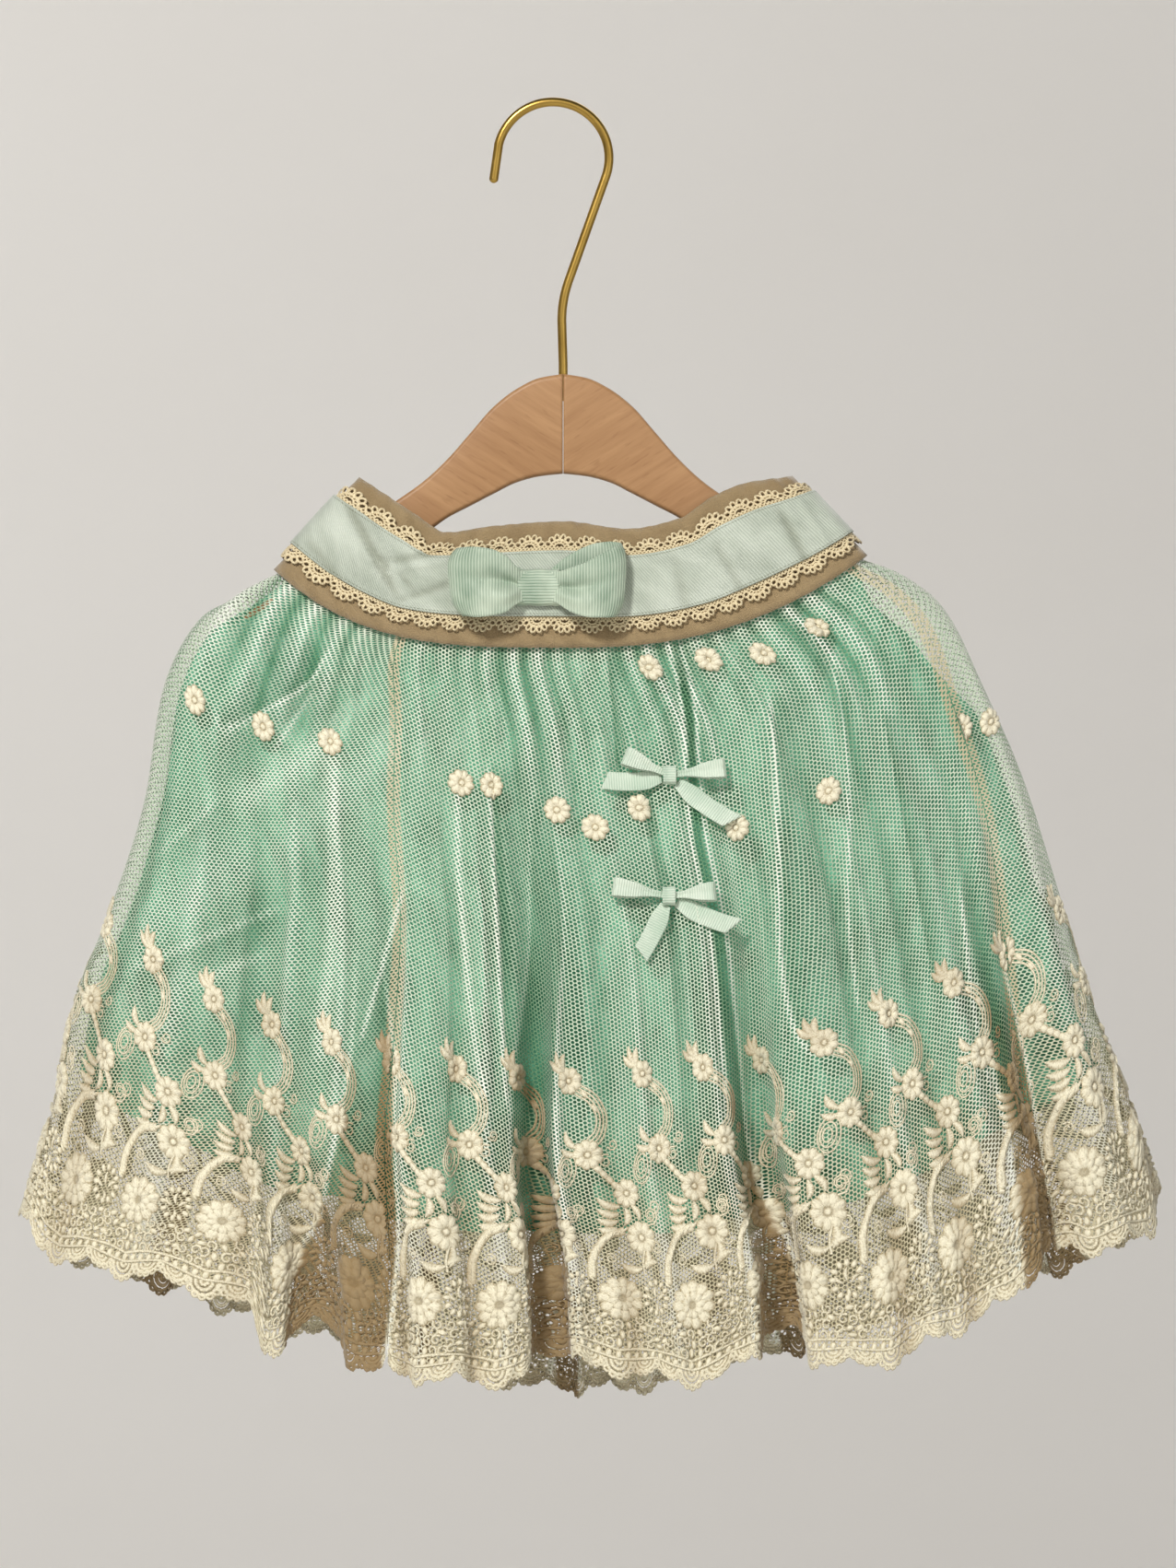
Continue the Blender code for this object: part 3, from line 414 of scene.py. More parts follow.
def plan_outline(left, right, front, back, squareness):
    """A closed plan of two half ovals: ring places by their length, points, and both halves' lengths."""
    middle = (left + right) / 2
    reach = (right - left) / 2
    across = -np.cos(np.linspace(0, math.pi, HALF_SAMPLES))
    bulge = np.maximum(0, 1 - np.abs(across) ** squareness) ** (1 / squareness)
    places, points, lengths = [], [], []
    for start, side, depth in ((0, 1, -front), (1, -1, back)):
        half = np.column_stack((middle + side * reach * across, depth * bulge))
        runs = run_lengths(half)
        places.append((start + runs / runs[-1])[start:])
        points.append(half[start:])
        lengths.append(runs[-1])
    return np.concatenate(places), np.concatenate(points), tuple(lengths)


def ring_at(place, places, points):
    """Points and outward directions of a plan at ring places that may wrap round."""
    def read(spot):
        return np.column_stack([np.interp(np.mod(spot, 2), places, points[:, i]) for i in (0, 1)])

    place = np.mod(place, 2)
    run = read(place + PLACE_STEP) - read(place - PLACE_STEP)
    return read(place), unit(np.column_stack((run[:, 1], -run[:, 0])))


def fold_depth(place, share, half_lengths, spread=0.0, folds=FOLDS):
    """How far folds push the cloth inwards.

    A spread widens the troughs by that much each way and leaves the ridges out.
    """
    total = np.zeros_like(place)
    place = np.mod(place, 2)
    down = np.clip(share, 0, 1)
    for fold in named(FOLD_COLUMNS, folds):
        if spread and fold["depth"] < 0:
            continue
        centre = fold["waist_place"] + (fold["hem_place"] - fold["waist_place"]) * down
        half = fold["waist_half"] + (fold["hem_half"] - fold["waist_half"]) * down
        away = np.abs(place - centre)
        away = np.minimum(away, 2 - away) * half_lengths[0 if centre < 1 else 1]
        hump = (1 + np.cos(math.pi * np.clip((away - spread) / half, 0, 1))) / 2
        total += fold["depth"] * hump * swell(fold["start"], fold["full"], fold["full"], fold["gone"], share)
    return total


def ring_droop(across, share):
    """How low a ring of the skirt hangs at a share across from -1 to 1."""
    side_drop = np.where(across < 0, RING["left_drop"](share), RING["right_drop"](share))
    power = np.where(across < 0, RING["droop_left"](share), RING["droop_right"](share))
    return side_drop + (RING["centre_drop"](share) - side_drop) * (1 - np.abs(across) ** power)


def droop(across, share, rear):
    """How low the cloth lies there, with the hem's own line towards the hem."""
    left, right = RING["left"](1.0), RING["right"](1.0)
    at_hem = (left + right) / 2 + (right - left) / 2 * across
    hem = np.where(rear, HEM_BACK["drop"](at_hem), HEM_FRONT["drop"](at_hem))
    change = hem - ring_droop(across, 1.0)
    return ring_droop(across, share) + change * smoothstep(HEM_BLEND_START, 1.0, share)


def skirt_plan(share):
    """The plan of the skirt's ring at one share."""
    columns = ("left", "right", "front", "back", "squareness")
    return plan_outline(*(float(RING[name](share)) for name in columns))


def skirt_form(place, share, spread=0.0):
    """Points of the skirt's cloth with its large folds, for ring places at one share."""
    place = np.asarray(place, float)
    places, points, lengths = skirt_plan(share)
    here, outward = ring_at(place, places, points)
    here = here - outward * fold_depth(place, share, lengths, spread)[:, None]
    across = across_of(here, float(RING["left"](share)), float(RING["right"](share)))
    return np.column_stack((here, -droop(across, share, np.mod(place, 2) > 1)))


def band_form(place, share):
    """Points of the waistband's inner side, from its upper edge at share 0 to its lower at 1."""
    place = np.asarray(place, float)
    rear = np.mod(place, 2) > 1
    places, points, _ = plan_outline(*BAND_TOP_ENDS, *BAND_TOP_DEPTHS, BAND_TOP_SQUARENESS)
    upper, _ = ring_at(place, places, points)
    across = across_of(upper, *BAND_TOP_ENDS)
    drop = np.where(rear, BAND_EDGE["back_drop"](across), BAND_EDGE["front_drop"](across))
    upper = np.column_stack((upper, -drop))
    left = float(RING["left"](0.0)) - BAND_FIT
    right = float(RING["right"](0.0)) + BAND_FIT
    depths = (float(RING["front"](0.0)) + BAND_FIT, float(RING["back"](0.0)) + BAND_FIT)
    places, points, _ = plan_outline(left, right, *depths, BAND_SQUARENESS)
    lower, _ = ring_at(place, places, points)
    lower = np.column_stack((lower, BAND_RIM_LIFT - droop(across_of(lower, left, right), 0.0, rear)))
    return upper + (lower - upper) * share


def outward_of(form, place, share):
    """Outward directions of a form, square to the cloth."""
    round_it = form(place + PLACE_STEP, share) - form(place - PLACE_STEP, share)
    down_it = form(place, share + PLACE_STEP) - form(place, share - PLACE_STEP)
    return unit(np.cross(round_it, -down_it))


def gather_wave(cloth, gathers, share):
    """Small gathers that merge in pairs as they fall, from -1 to 1, uneven round the cloth."""
    merged = float(smoothstep(GATHER_MERGE_START, GATHER_MERGE_END, share))
    fine = np.cos(TAU * gathers * cloth)
    broad = np.cos(math.pi * gathers * cloth + 0.9)
    uneven = 0.72 + 0.28 * np.cos(TAU * (3.3 * cloth + 0.15))
    return ((1 - merged) * fine + merged * broad) * uneven


def net_place(panel, cloth, share):
    """Ring places of a net panel's cloth, which runs 0 to 1 from seam to seam."""
    left, right = float(SEAM["left"](share)), float(SEAM["right"](share))
    start, end = (left, right) if panel == "front" else (right, 2 + left)
    inset = SEAM_GAP / 2 / float(RING["right"](share) - RING["left"](share))
    return start + inset + (end - start - 2 * inset) * cloth


def net_point(panel, cloth, share, lift):
    """Points on the net's plain inner side, moved out by lift. The gathers die away at the seams."""
    gathers = NET_PANELS[panel]["gathers"]
    place = net_place(panel, cloth, share)
    at_seams = smoothstep(0.0, 1 / gathers, np.minimum(cloth, 1 - cloth))
    wave = gather_wave(cloth, gathers, share) * float(GATHER["net"](share)) * at_seams
    return skirt_form(place, share) + outward_of(skirt_form, place, share) * (wave + lift)[:, None]


def lining_form(place, share):
    """The skirt's form for the lining: wide troughs, no ridges, and a shoulder let down on the arm."""
    points = skirt_form(place, share, LINING_SPREAD)
    near_right = smoothstep(0.12, 0.0, np.abs(np.mod(place, 2) - 1))
    on_shoulder = smoothstep(0.0, 0.07, share) * smoothstep(0.3, 0.15, share)
    slack = SHOULDER_SLACK * near_right * on_shoulder
    points[:, 0] -= slack
    points[:, 2] -= slack
    return points


def lining_point(place, cloth, gathers, share, lift):
    """Points on the lining's inner side, moved out by lift."""
    wave = gather_wave(cloth, gathers, share) * float(GATHER["lining"](share))
    depth = float(GATHER["inset"](share)) + LINING_WALL - wave - lift
    return lining_form(place, share) - outward_of(lining_form, place, share) * depth[:, None]


def colour(red, green, blue):
    """A linear colour from screen values of 0 to 255."""
    return tuple(((value / 255 + 0.055) / 1.055) ** 2.4 for value in (red, green, blue)) + (1.0,)


NET_PITCH = 1.75
NET_LEVEL = -0.5
# The net's thread is ivory. The cool mint it takes above the border is a painted reflection of the satin
# behind it. Its shade colour is random thread tone. The bright colour is a painted highlight, and the two
# hollow colours are painted shade.
NET_PAINTED_LINING_TINT = colour(206, 226, 203)
NET_WARM = colour(206, 192, 158)
NET_SHADE = colour(200, 212, 184)
NET_PAINTED_HIGHLIGHT = colour(250, 253, 240)
NET_PAINTED_SHADE_COOL = colour(88, 146, 108)
NET_PAINTED_SHADE_WARM = colour(136, 110, 66)
# The satin's light and deep colours are painted sheen and shade over its crush. Its hollow colour is painted
# shade in troughs and recesses.
SATIN_LIGHT = colour(128, 212, 175)
SATIN_DEEP = colour(56, 136, 102)
SATIN_PAINTED_SHADE = colour(30, 104, 70)
# Stitch and lace colours run from deep at a stitch's low edges to light on its top, partly as random thread
# tone and partly as painted shade. The stitches' hollow colour is painted shade in the net's recesses.
STITCH_LIGHT = colour(252, 245, 218)
STITCH_DEEP = colour(152, 132, 88)
STITCH_PAINTED_SHADE = colour(146, 118, 72)
LACE_LIGHT = colour(240, 225, 186)
LACE_DEEP = colour(150, 122, 78)
# Ribbon colours move between deep and light across the ribs, as painted shade in the dents, and in random
# clouds. The seam colour marks the sewn lines and also paints shade into the waistband's creases.
RIBBON_LIGHT = colour(214, 222, 208)
RIBBON_DEEP = colour(160, 170, 154)
RIBBON_SEAM_AND_SHADE = colour(112, 116, 92)
BOW_LIGHT = colour(208, 222, 201)
BOW_DEEP = colour(114, 142, 118)
SMALL_LIGHT = colour(228, 240, 222)
SMALL_DEEP = colour(172, 200, 176)
RIB_PITCH = 1.3
SMALL_RIB_PITCH = 1.1
VELVET_LIGHT = colour(186, 162, 122)
VELVET_DEEP = colour(128, 106, 70)
WOOD_LIGHT = colour(192, 150, 106)
WOOD_DEEP = colour(152, 109, 69)
WOOD_FLECK = colour(132, 88, 52)
BRASS_LIGHT = colour(212, 178, 96)
BRASS_DEEP = colour(160, 126, 58)

# Values of the sewn and woven detail, and of the wood's grain in degrees.
GRAIN_LEAN = 32.0
NET_SHARES = (TUCKED_SHARE, 0.0, 0.05, 0.12, 0.22, 0.34, 0.48, 0.62, 0.75, BORDER_TOP, 0.93, 1.0)
LINING_SHARES = (TUCKED_SHARE, 0.81)
NET_PANELS = {
    "front": {"gathers": 20, "columns": 80, "repeats": 10, "fine_columns": 441, "fine_rows": 150},
    "wrap": {"gathers": 28, "columns": 84, "repeats": 24, "fine_columns": 621, "fine_rows": 132},
}
LINING_COLUMNS = ("name", "start", "end", "gathers", "fine_columns")
LININGS = (
    ("lining_front", 0.0, 1.0, 18, 380),
    ("lining_back", 1.0, 2.0, 12, 300),
)
LINING_ROWS = 90
FRONT_PANEL_LEFT, FRONT_PANEL_RIGHT = -64.0, 140.0
PLEAT_DEPTH = 0.7
NET_EVEN = {"front": 0.86, "wrap": 0.94}
FINE_SHARE = 0.2
HEM_DEEPENING = 0.4
HEM_RISE = 6.0
TROUGH_DEPTH = 15.0
SEAM_TAPE = 4.2
LINING_SINK = 1.0
BELT_BOW_PLACE = 0.5 + (BELT_BOW_ACROSS - sum(BAND_TOP_ENDS) / 2) / (BAND_TOP_ENDS[1] - BAND_TOP_ENDS[0])
FRONT_FULLNESS, REAR_FULLNESS = 1.1, 1.05
RIBBON_WALL_SHARE = 0.8
FLOWER_ON_NET = 0.35
BORDER_INSET = 0.3
SEWN_SHARES = (0.254, 0.736)
FAN_PITCH = 12.0
FAN_HEIGHT = 6.4
LOOP_START = 1.2
RIBBON_CUTS = 17
BELT_LOOP_CUTS = 25
BELT_LOOP_WALL = 0.6

# Creases of the waistband: both ends across and down, half width, depth and whether on the rear.
BAND_CREASE_COLUMNS = ("across", "drop", "end_across", "end_drop", "half", "depth", "rear")
BAND_CREASES = (
    (-90.0, 172.0, -68.0, 212.0, 1.8, 1.9, False),
    (-85.5, 169.0, -62.0, 214.0, 1.6, -1.0, False),
    (-78.0, 194.0, -60.0, 210.0, 1.3, 1.3, False),
    (-75.0, 199.0, -46.0, 193.5, 1.3, 1.2, False),
    (-73.0, 203.0, -44.0, 198.5, 1.2, -0.8, False),
    (-66.0, 215.0, -42.0, 207.0, 1.5, 1.0, False),
    (-62.0, 190.0, -50.0, 186.0, 1.5, 0.8, False),
    (-106.0, 189.0, -92.0, 207.0, 1.8, 1.0, False),
    (-98.0, 180.0, -86.0, 196.0, 1.4, -0.7, False),
    (98.0, 176.0, 112.0, 202.0, 2.0, 1.0, False),
    (104.0, 170.0, 119.0, 192.0, 1.6, -0.7, False),
    (70.0, 190.0, 84.0, 214.0, 2.0, 0.7, False),
    (52.0, 194.0, 60.0, 226.0, 2.4, 0.5, False),
    (-70.0, 178.0, -52.0, 212.0, 1.9, 1.2, True),
    (-30.0, 190.0, -20.0, 226.0, 2.2, 0.7, True),
    (34.0, 188.0, 26.0, 224.0, 2.0, 0.8, True),
    (92.0, 176.0, 76.0, 212.0, 1.9, 1.2, True),
)

# The belt bow's loops, from behind the knot round to the front: how far out, the middle's rise,
# half height, lift, how round the end is and how deep the crease runs.
BELT_LOOPS = {
    "left": (
        (2.0, 0.0, 5.0, 0.3, 0.0, 0.0), (12.0, 1.0, 9.5, 0.2, 0.0, 0.0), (24.0, 2.0, 13.5, 0.3, 0.5, 0.0),
        (33.0, 2.3, 14.6, 1.2, 3.0, 0.0), (37.6, 2.0, 14.6, 3.6, 4.5, 0.0), (38.2, 1.8, 14.6, 5.6, 4.5, 0.0),
        (35.0, 1.8, 14.8, 8.2, 3.0, 0.0), (28.0, 1.6, 15.2, 9.4, 1.0, 1.0), (20.0, 1.4, 14.4, 9.2, 0.0, 2.6),
        (14.0, 0.8, 12.2, 8.0, 0.0, 3.8), (10.0, 0.4, 8.6, 5.8, 0.0, 2.8), (7.0, 0.2, 6.6, 3.6, 0.0, 0.6),
        (2.0, 0.2, 6.0, 2.6, 0.0, 0.0),
    ),
    "right": (
        (2.0, 0.0, 5.0, 0.3, 0.0, 0.0), (12.0, 3.2, 10.0, 0.2, 0.0, 0.0), (22.0, 5.4, 13.0, 0.3, 0.0, 0.0),
        (31.0, 5.2, 14.6, 1.0, 1.0, 0.0), (36.4, 3.6, 15.6, 3.4, 2.4, 0.0), (37.4, 2.8, 15.6, 5.4, 3.0, 0.0),
        (34.0, 1.6, 15.2, 8.4, 2.0, 0.0), (28.0, 0.0, 13.8, 9.6, 0.6, 0.6), (21.0, -1.6, 12.0, 9.6, 0.0, 1.8),
        (15.0, -1.8, 10.0, 8.6, 0.0, 3.0), (10.5, -1.0, 7.8, 6.0, 0.0, 2.4), (7.0, 0.0, 6.6, 3.6, 0.0, 0.5),
        (2.0, 0.0, 6.0, 2.6, 0.0, 0.0),
    ),
}
BELT_KNOT_FOLDS = ((-0.55, 0.22, 0.35, 0.0, 1.0), (0.5, 0.25, 0.35, 0.0, 1.0))
SMALL_LOOP_FOLDS = ((0.0, 0.4, -0.35, 0.6, 1.0),)
SMALL_KNOT_FOLDS = ((0.3, 0.3, 0.2, 0.0, 1.0),)

# The round stage, then its lights in metres: name, place, aim, size, watts and tint.
STAGE_WALL = 9000.0
STAGE_ROUND = 3500.0
STAGE_TOP = 6500.0
STAGE_FLOOR = -1300.0
STAGE_LIGHT = colour(250, 248, 244)
STAGE_DEEP = colour(246, 243, 238)
AIR_COLOUR = (0.93, 0.95, 1.0, 1.0)
AIR_STRENGTH = 0.09
LIGHTS = (
    ("key_softbox", (-0.9, -1.95, 1.25), (0.01, 0.0, -0.32), (0.4, 0.4), 52.0, (1.0, 0.98, 0.955)),
    ("fill_softbox", (1.6, -1.9, 0.0), (0.01, 0.0, -0.32), (1.6, 1.6), 5.0, (0.95, 0.98, 1.0)),
    ("back_softbox", (0.6, 1.6, 1.2), (0.01, 0.0, -0.32), (1.6, 1.2), 9.0, (1.0, 0.98, 0.95)),
    ("paper_softbox", (-2.6, 6.0, 4.5), (-1.6, 9.0, -0.2), (5.0, 2.0), 150.0, (1.0, 0.99, 0.98)),
    ("rear_paper_softbox", (2.6, -6.0, 4.5), (2.6, -9.0, -0.2), (7.0, 2.0), 130.0, (1.0, 0.99, 0.98)),
)

# The camera, in metres, with its lens and sensor in millimetres.
VIEW_CENTRE = (0.0152, -0.2942)
VIEW_DISTANCE = 3.783
SIGHT = 50.0
LENS = 200.0
SENSOR_WIDTH = 36.0

# Smaller folds, pleats and creases of the net, in the same columns as the large ones.
DETAIL_FOLDS = (
    (0.030, 0.060, 5.0, 12.0, 2.6, 0.05, 0.5, 1.6),
    (0.070, 0.140, 4.0, 11.0, -2.4, 0.04, 0.6, 1.8),
    (0.125, 0.205, 4.0, 9.0, 2.4, 0.10, 0.6, 1.7),
    (0.160, 0.245, 4.0, 8.0, -2.8, 0.08, 0.5, 9.0),
    (0.200, 0.310, 3.5, 6.0, -2.6, 0.05, 0.5, 9.0),
    (0.245, 0.352, 3.5, 6.0, 2.6, 0.06, 0.6, 9.0),
    (0.275, 0.366, 3.0, 6.0, -3.0, 0.10, 0.7, 9.0),
    (0.335, 0.405, 3.0, 6.0, 2.8, 0.04, 0.5, 9.0),
    (0.372, 0.425, 3.0, 5.0, -2.6, 0.06, 0.6, 9.0),
    (0.402, 0.440, 3.0, 5.0, 2.0, 0.03, 0.3, 0.9),
    (0.462, 0.500, 3.0, 6.0, -3.2, 0.05, 0.7, 9.0),
    (0.500, 0.536, 3.0, 7.0, 2.4, 0.02, 0.5, 9.0),
    (0.530, 0.572, 3.0, 6.0, -2.4, 0.04, 0.6, 9.0),
    (0.588, 0.604, 3.0, 5.0, 3.0, 0.02, 0.3, 1.3),
    (0.622, 0.626, 3.0, 5.0, -2.6, 0.06, 0.5, 9.0),
    (0.712, 0.688, 3.0, 6.0, 2.4, 0.04, 0.4, 1.2),
    (0.775, 0.752, 3.0, 7.0, 2.6, 0.02, 0.4, 9.0),
    (0.800, 0.776, 3.0, 6.0, -2.6, 0.06, 0.6, 9.0),
    (0.838, 0.806, 3.5, 7.0, 2.6, 0.05, 0.5, 9.0),
    (0.880, 0.838, 3.5, 8.0, -2.6, 0.08, 0.6, 9.0),
    (0.925, 0.862, 3.5, 7.0, 2.2, 0.05, 0.5, 9.0),
    (0.985, 0.930, 4.0, 10.0, -2.4, 0.08, 0.5, 9.0),
    (1.040, 0.985, 4.0, 10.0, 2.2, 0.05, 0.6, 9.0),
    (1.075, 1.060, 4.0, 9.0, -2.6, 0.04, 0.6, 9.0),
    (1.175, 1.165, 4.0, 8.0, -2.8, 0.06, 0.6, 9.0),
    (1.220, 1.215, 3.5, 8.0, 2.6, 0.03, 0.5, 9.0),
    (1.262, 1.255, 3.5, 7.0, -2.8, 0.06, 0.7, 9.0),
    (1.352, 1.345, 3.5, 7.0, -2.4, 0.03, 0.5, 9.0),
    (1.392, 1.395, 3.5, 8.0, 3.0, 0.05, 0.7, 9.0),
    (1.436, 1.446, 3.5, 7.0, -2.6, 0.03, 0.5, 9.0),
    (1.548, 1.552, 3.5, 8.0, 2.6, 0.05, 0.6, 9.0),
    (1.592, 1.600, 3.5, 7.0, -3.0, 0.04, 0.6, 9.0),
    (1.712, 1.716, 3.5, 8.0, -2.4, 0.05, 0.5, 9.0),
    (1.762, 1.766, 3.5, 8.0, 2.8, 0.04, 0.6, 9.0),
    (1.806, 1.802, 3.5, 7.0, -2.6, 0.08, 0.7, 9.0),
    (1.905, 1.905, 4.0, 10.0, -2.4, 0.05, 0.5, 9.0),
    (1.950, 1.955, 4.0, 10.0, 2.4, 0.06, 0.6, 9.0),
)

# Slanting drags across the cloth: ring place and share of both ends, half width and depth.
DRAG_COLUMNS = ("place", "share", "end_place", "end_share", "half", "depth")
DRAGS = (
    (0.225, 0.06, 0.075, 0.34, 7.0, 1.8),
    (0.300, 0.10, 0.150, 0.44, 8.0, -1.6),
    (0.245, 0.28, 0.095, 0.60, 9.0, 1.8),
    (0.150, 0.36, 0.040, 0.62, 9.0, -1.8),
    (0.205, 0.55, 0.080, 0.80, 9.0, 1.4),
    (0.120, 0.10, 0.190, 0.19, 5.0, 1.6),
    (0.905, 0.10, 0.965, 0.40, 8.0, 1.6),
    (0.870, 0.20, 0.930, 0.52, 8.0, -1.4),
    (1.150, 0.10, 1.060, 0.45, 8.0, 1.6),
    (1.300, 0.15, 1.200, 0.42, 8.0, -1.4),
    (1.640, 0.12, 1.760, 0.42, 8.0, 1.4),
    (1.830, 0.20, 1.930, 0.50, 8.0, -1.6),
)

# Fold edges that lap over their troughs: ring places at waist and hem, half width, shift to the
# right along the cloth, and the shares where it begins and is full.
LAP_COLUMNS = ("waist_place", "hem_place", "half", "shift", "start", "full")
LAPS = (
    (0.060, 0.212, 15.0, 7.0, 0.45, 0.95),
    (0.390, 0.432, 11.0, 5.0, 0.40, 0.90),
    (0.470, 0.505, 11.0, -5.0, 0.15, 0.60),
    (0.640, 0.610, 10.0, 4.0, 0.50, 0.95),
    (0.712, 0.696, 13.0, -7.0, 0.08, 0.70),
    (0.930, 0.855, 11.0, 5.0, 0.45, 0.95),
    (1.100, 1.085, 12.0, 5.0, 0.40, 0.90),
    (1.340, 1.335, 12.0, -6.0, 0.15, 0.80),
    (1.515, 1.530, 12.0, -5.0, 0.30, 0.90),
    (1.630, 1.635, 12.0, 6.0, 0.20, 0.80),
    (1.885, 1.880, 12.0, -5.0, 0.35, 0.95),
)


# Recesses between lapped edges, where shade is painted, as rows of share, ring places of both edges, and
# depth. A highlight is painted on the edges' rims.
RECESS_SOFT = 1.0
RIM_PLACE = 1.2
RIM_HALF = 0.9
RECESSES = (
    ((0.40, 0.262, 0.276, 0.0), (0.59, 0.279, 0.316, 0.45), (0.70, 0.283, 0.330, 0.7),
     (0.80, 0.275, 0.334, 0.85), (0.90, 0.254, 0.334, 1.0), (1.0, 0.250, 0.334, 1.0)),
    ((0.12, 0.466, 0.474, 0.0), (0.35, 0.448, 0.484, 0.35), (0.6, 0.430, 0.481, 0.45),
     (0.8, 0.434, 0.488, 0.5), (0.9, 0.438, 0.489, 0.75), (1.0, 0.450, 0.489, 0.95)),
    ((0.0, 0.664, 0.676, 0.5), (0.08, 0.656, 0.667, 0.9), (0.16, 0.645, 0.655, 1.0),
     (0.28, 0.635, 0.645, 1.0), (0.49, 0.635, 0.646, 0.95), (0.6, 0.635, 0.650, 0.8),
     (0.75, 0.633, 0.656, 0.65), (0.87, 0.631, 0.662, 0.75), (1.0, 0.628, 0.668, 0.9)),
    ((0.50, 0.884, 0.900, 0.0), (0.67, 0.872, 0.906, 0.6), (0.75, 0.865, 0.904, 0.75),
     (0.83, 0.857, 0.894, 0.9), (0.90, 0.849, 0.888, 1.0), (1.0, 0.841, 0.884, 1.0)),
    ((0.35, 1.092, 1.100, 0.0), (0.7, 1.080, 1.100, 0.7), (1.0, 1.070, 1.098, 0.9)),
    ((0.10, 1.338, 1.344, 0.2), (0.5, 1.332, 1.346, 0.7), (1.0, 1.318, 1.346, 0.9)),
    ((0.25, 1.516, 1.522, 0.0), (0.6, 1.518, 1.534, 0.6), (1.0, 1.516, 1.540, 0.9)),
    ((0.15, 1.632, 1.640, 0.2), (0.6, 1.630, 1.646, 0.7), (1.0, 1.626, 1.652, 0.9)),
    ((0.30, 1.882, 1.888, 0.0), (0.7, 1.876, 1.892, 0.7), (1.0, 1.866, 1.894, 0.9)),
)

# Fold lines of the front: half width and how pale the highlight painted along it is, the side where shade is
# painted (1 is the right of a line that runs down), how dark that painted shade is and how far it fades, and
# the line as across and drop in mm.
STREAK_ENDS = 10.0
STREAK_RISE = 0.6
STREAK_DEPTH = 1.0
STREAK_COLUMNS = ("half", "pale", "side", "shade", "fade", "path")
STREAKS = (
    (0.9, 0.9, 1, 0.25, 10.0, ((-64.0, 337.8), (-73.2, 372.6), (-81.2, 400.6), (-85.2, 407.4))),
    (3.0, 0.55, -1, 0.2, 14.0,
     ((-95.2, 277.8), (-94.4, 325.8), (-94.8, 365.8), (-98.8, 393.8), (-100.0, 417.8))),
    (1.6, 0.7, 0, 0.0, 1.0, ((-41.2, 285.8), (-40.0, 339.0), (-33.2, 405.8), (-28.0, 433.8))),
    (1.2, 0.9, 1, 0.5, 18.0, ((-28.0, 283.8), (-24.8, 337.8), (-21.2, 405.8), (-19.2, 435.8))),
    (1.2, 0.7, 1, 0.6, 9.0,
     ((-147.2, 259.8), (-141.2, 269.8), (-120.0, 259.8), (-105.2, 249.8), (-94.8, 232.6))),
    (1.0, 0.7, 0, 0.0, 1.0, ((-102.8, 252.6), (-111.2, 265.8), (-122.0, 282.0))),
    (1.3, 0.8, 1, 0.45, 15.0,
     ((92.8, 251.8), (95.2, 272.6), (97.2, 325.8), (98.0, 365.8), (103.2, 397.8), (114.0, 413.8))),
    (0.8, 0.0, 1, 0.6, 9.0, ((141.2, 259.8), (150.0, 305.8), (156.0, 337.8), (164.4, 386.2))),
    (0.9, 0.8, 1, 0.3, 8.0, ((175.2, 335.8), (181.6, 393.8), (189.6, 430.8))),
    (1.0, 0.0, 1, 0.9, 3.5, ((23.0, 232.6), (25.6, 265.8), (28.2, 295.8))),
    (6.0, 0.4, 0, 0.0, 1.0, ((-140.0, 306.0), (-116.0, 289.8), (-90.8, 272.6))),
    (1.5, 0.5, -1, 0.25, 8.0, ((-186.0, 375.6), (-150.0, 361.0), (-114.0, 346.6))),
    (2.0, 0.4, 0, 0.0, 1.0, ((-159.2, 382.0), (-140.0, 374.0), (-120.2, 366.6))),
    (1.0, 0.4, -1, 0.3, 14.0, ((-172.8, 326.6), (-156.0, 312.0), (-140.2, 297.8))),
    (1.1, 0.5, 1, 0.3, 9.0, ((120.0, 238.0), (126.0, 270.0), (128.0, 310.0), (127.0, 350.0), (132.0, 396.0))),
)


def about_half_lengths(share):
    """About how long the cloth runs across the front and the rear, for folds of the detail."""
    width = float(RING["right"](share) - RING["left"](share))
    return width * FRONT_FULLNESS, width * REAR_FULLNESS


def streaks(points):
    """How much highlight and shade the fold lines of the front paint on its points, from 0 to 1."""
    pale, shade = np.zeros((2, *points.shape[:-1]))
    for streak in named(STREAK_COLUMNS, STREAKS):
        path = smooth_path(np.array(streak["path"]) * (1, -1), 3)
        side, run = np.zeros((2, *pale.shape))
        nearest = np.full(pale.shape, np.inf)
        total = 0.0
        for start, end in zip(path[:-1], path[1:]):
            reach = np.linalg.norm(end - start)
            leg = (end - start) / reach
            away = points[..., (0, 2)] - start
            along = np.clip(away @ leg, 0, reach)
            distance = np.linalg.norm(away - along[..., None] * leg, axis=-1)
            closer = distance < nearest
            nearest = np.where(closer, distance, nearest)
            side = np.where(closer, np.sign(away @ np.array((-leg[1], leg[0]))), side)
            run = np.where(closer, total + along, run)
            total += reach
        ends = swell(0, STREAK_ENDS, total - STREAK_ENDS, total, run)
        pale += streak["pale"] * bell(nearest, streak["half"]) * ends
        shaded = np.exp(-nearest / streak["fade"]) * smoothstep(0, 0.8, nearest) * (side == streak["side"])
        shade += streak["shade"] * shaded * ends
    return np.clip(pale, 0, 1), np.clip(shade, 0, 1)


def lap_shift(place, share, half_lengths):
    """How far fold edges are drawn along the cloth over the troughs beside them."""
    total = np.zeros_like(place)
    place = np.mod(place, 2)
    length = sum(half_lengths) / 2
    for lap in named(LAP_COLUMNS, LAPS):
        centre = lap["waist_place"] + (lap["hem_place"] - lap["waist_place"]) * np.clip(share, 0, 1)
        grown = smoothstep(lap["start"], lap["full"], share)
        total += lap["shift"] * bell((place - centre) * length, lap["half"]) * grown
    return total


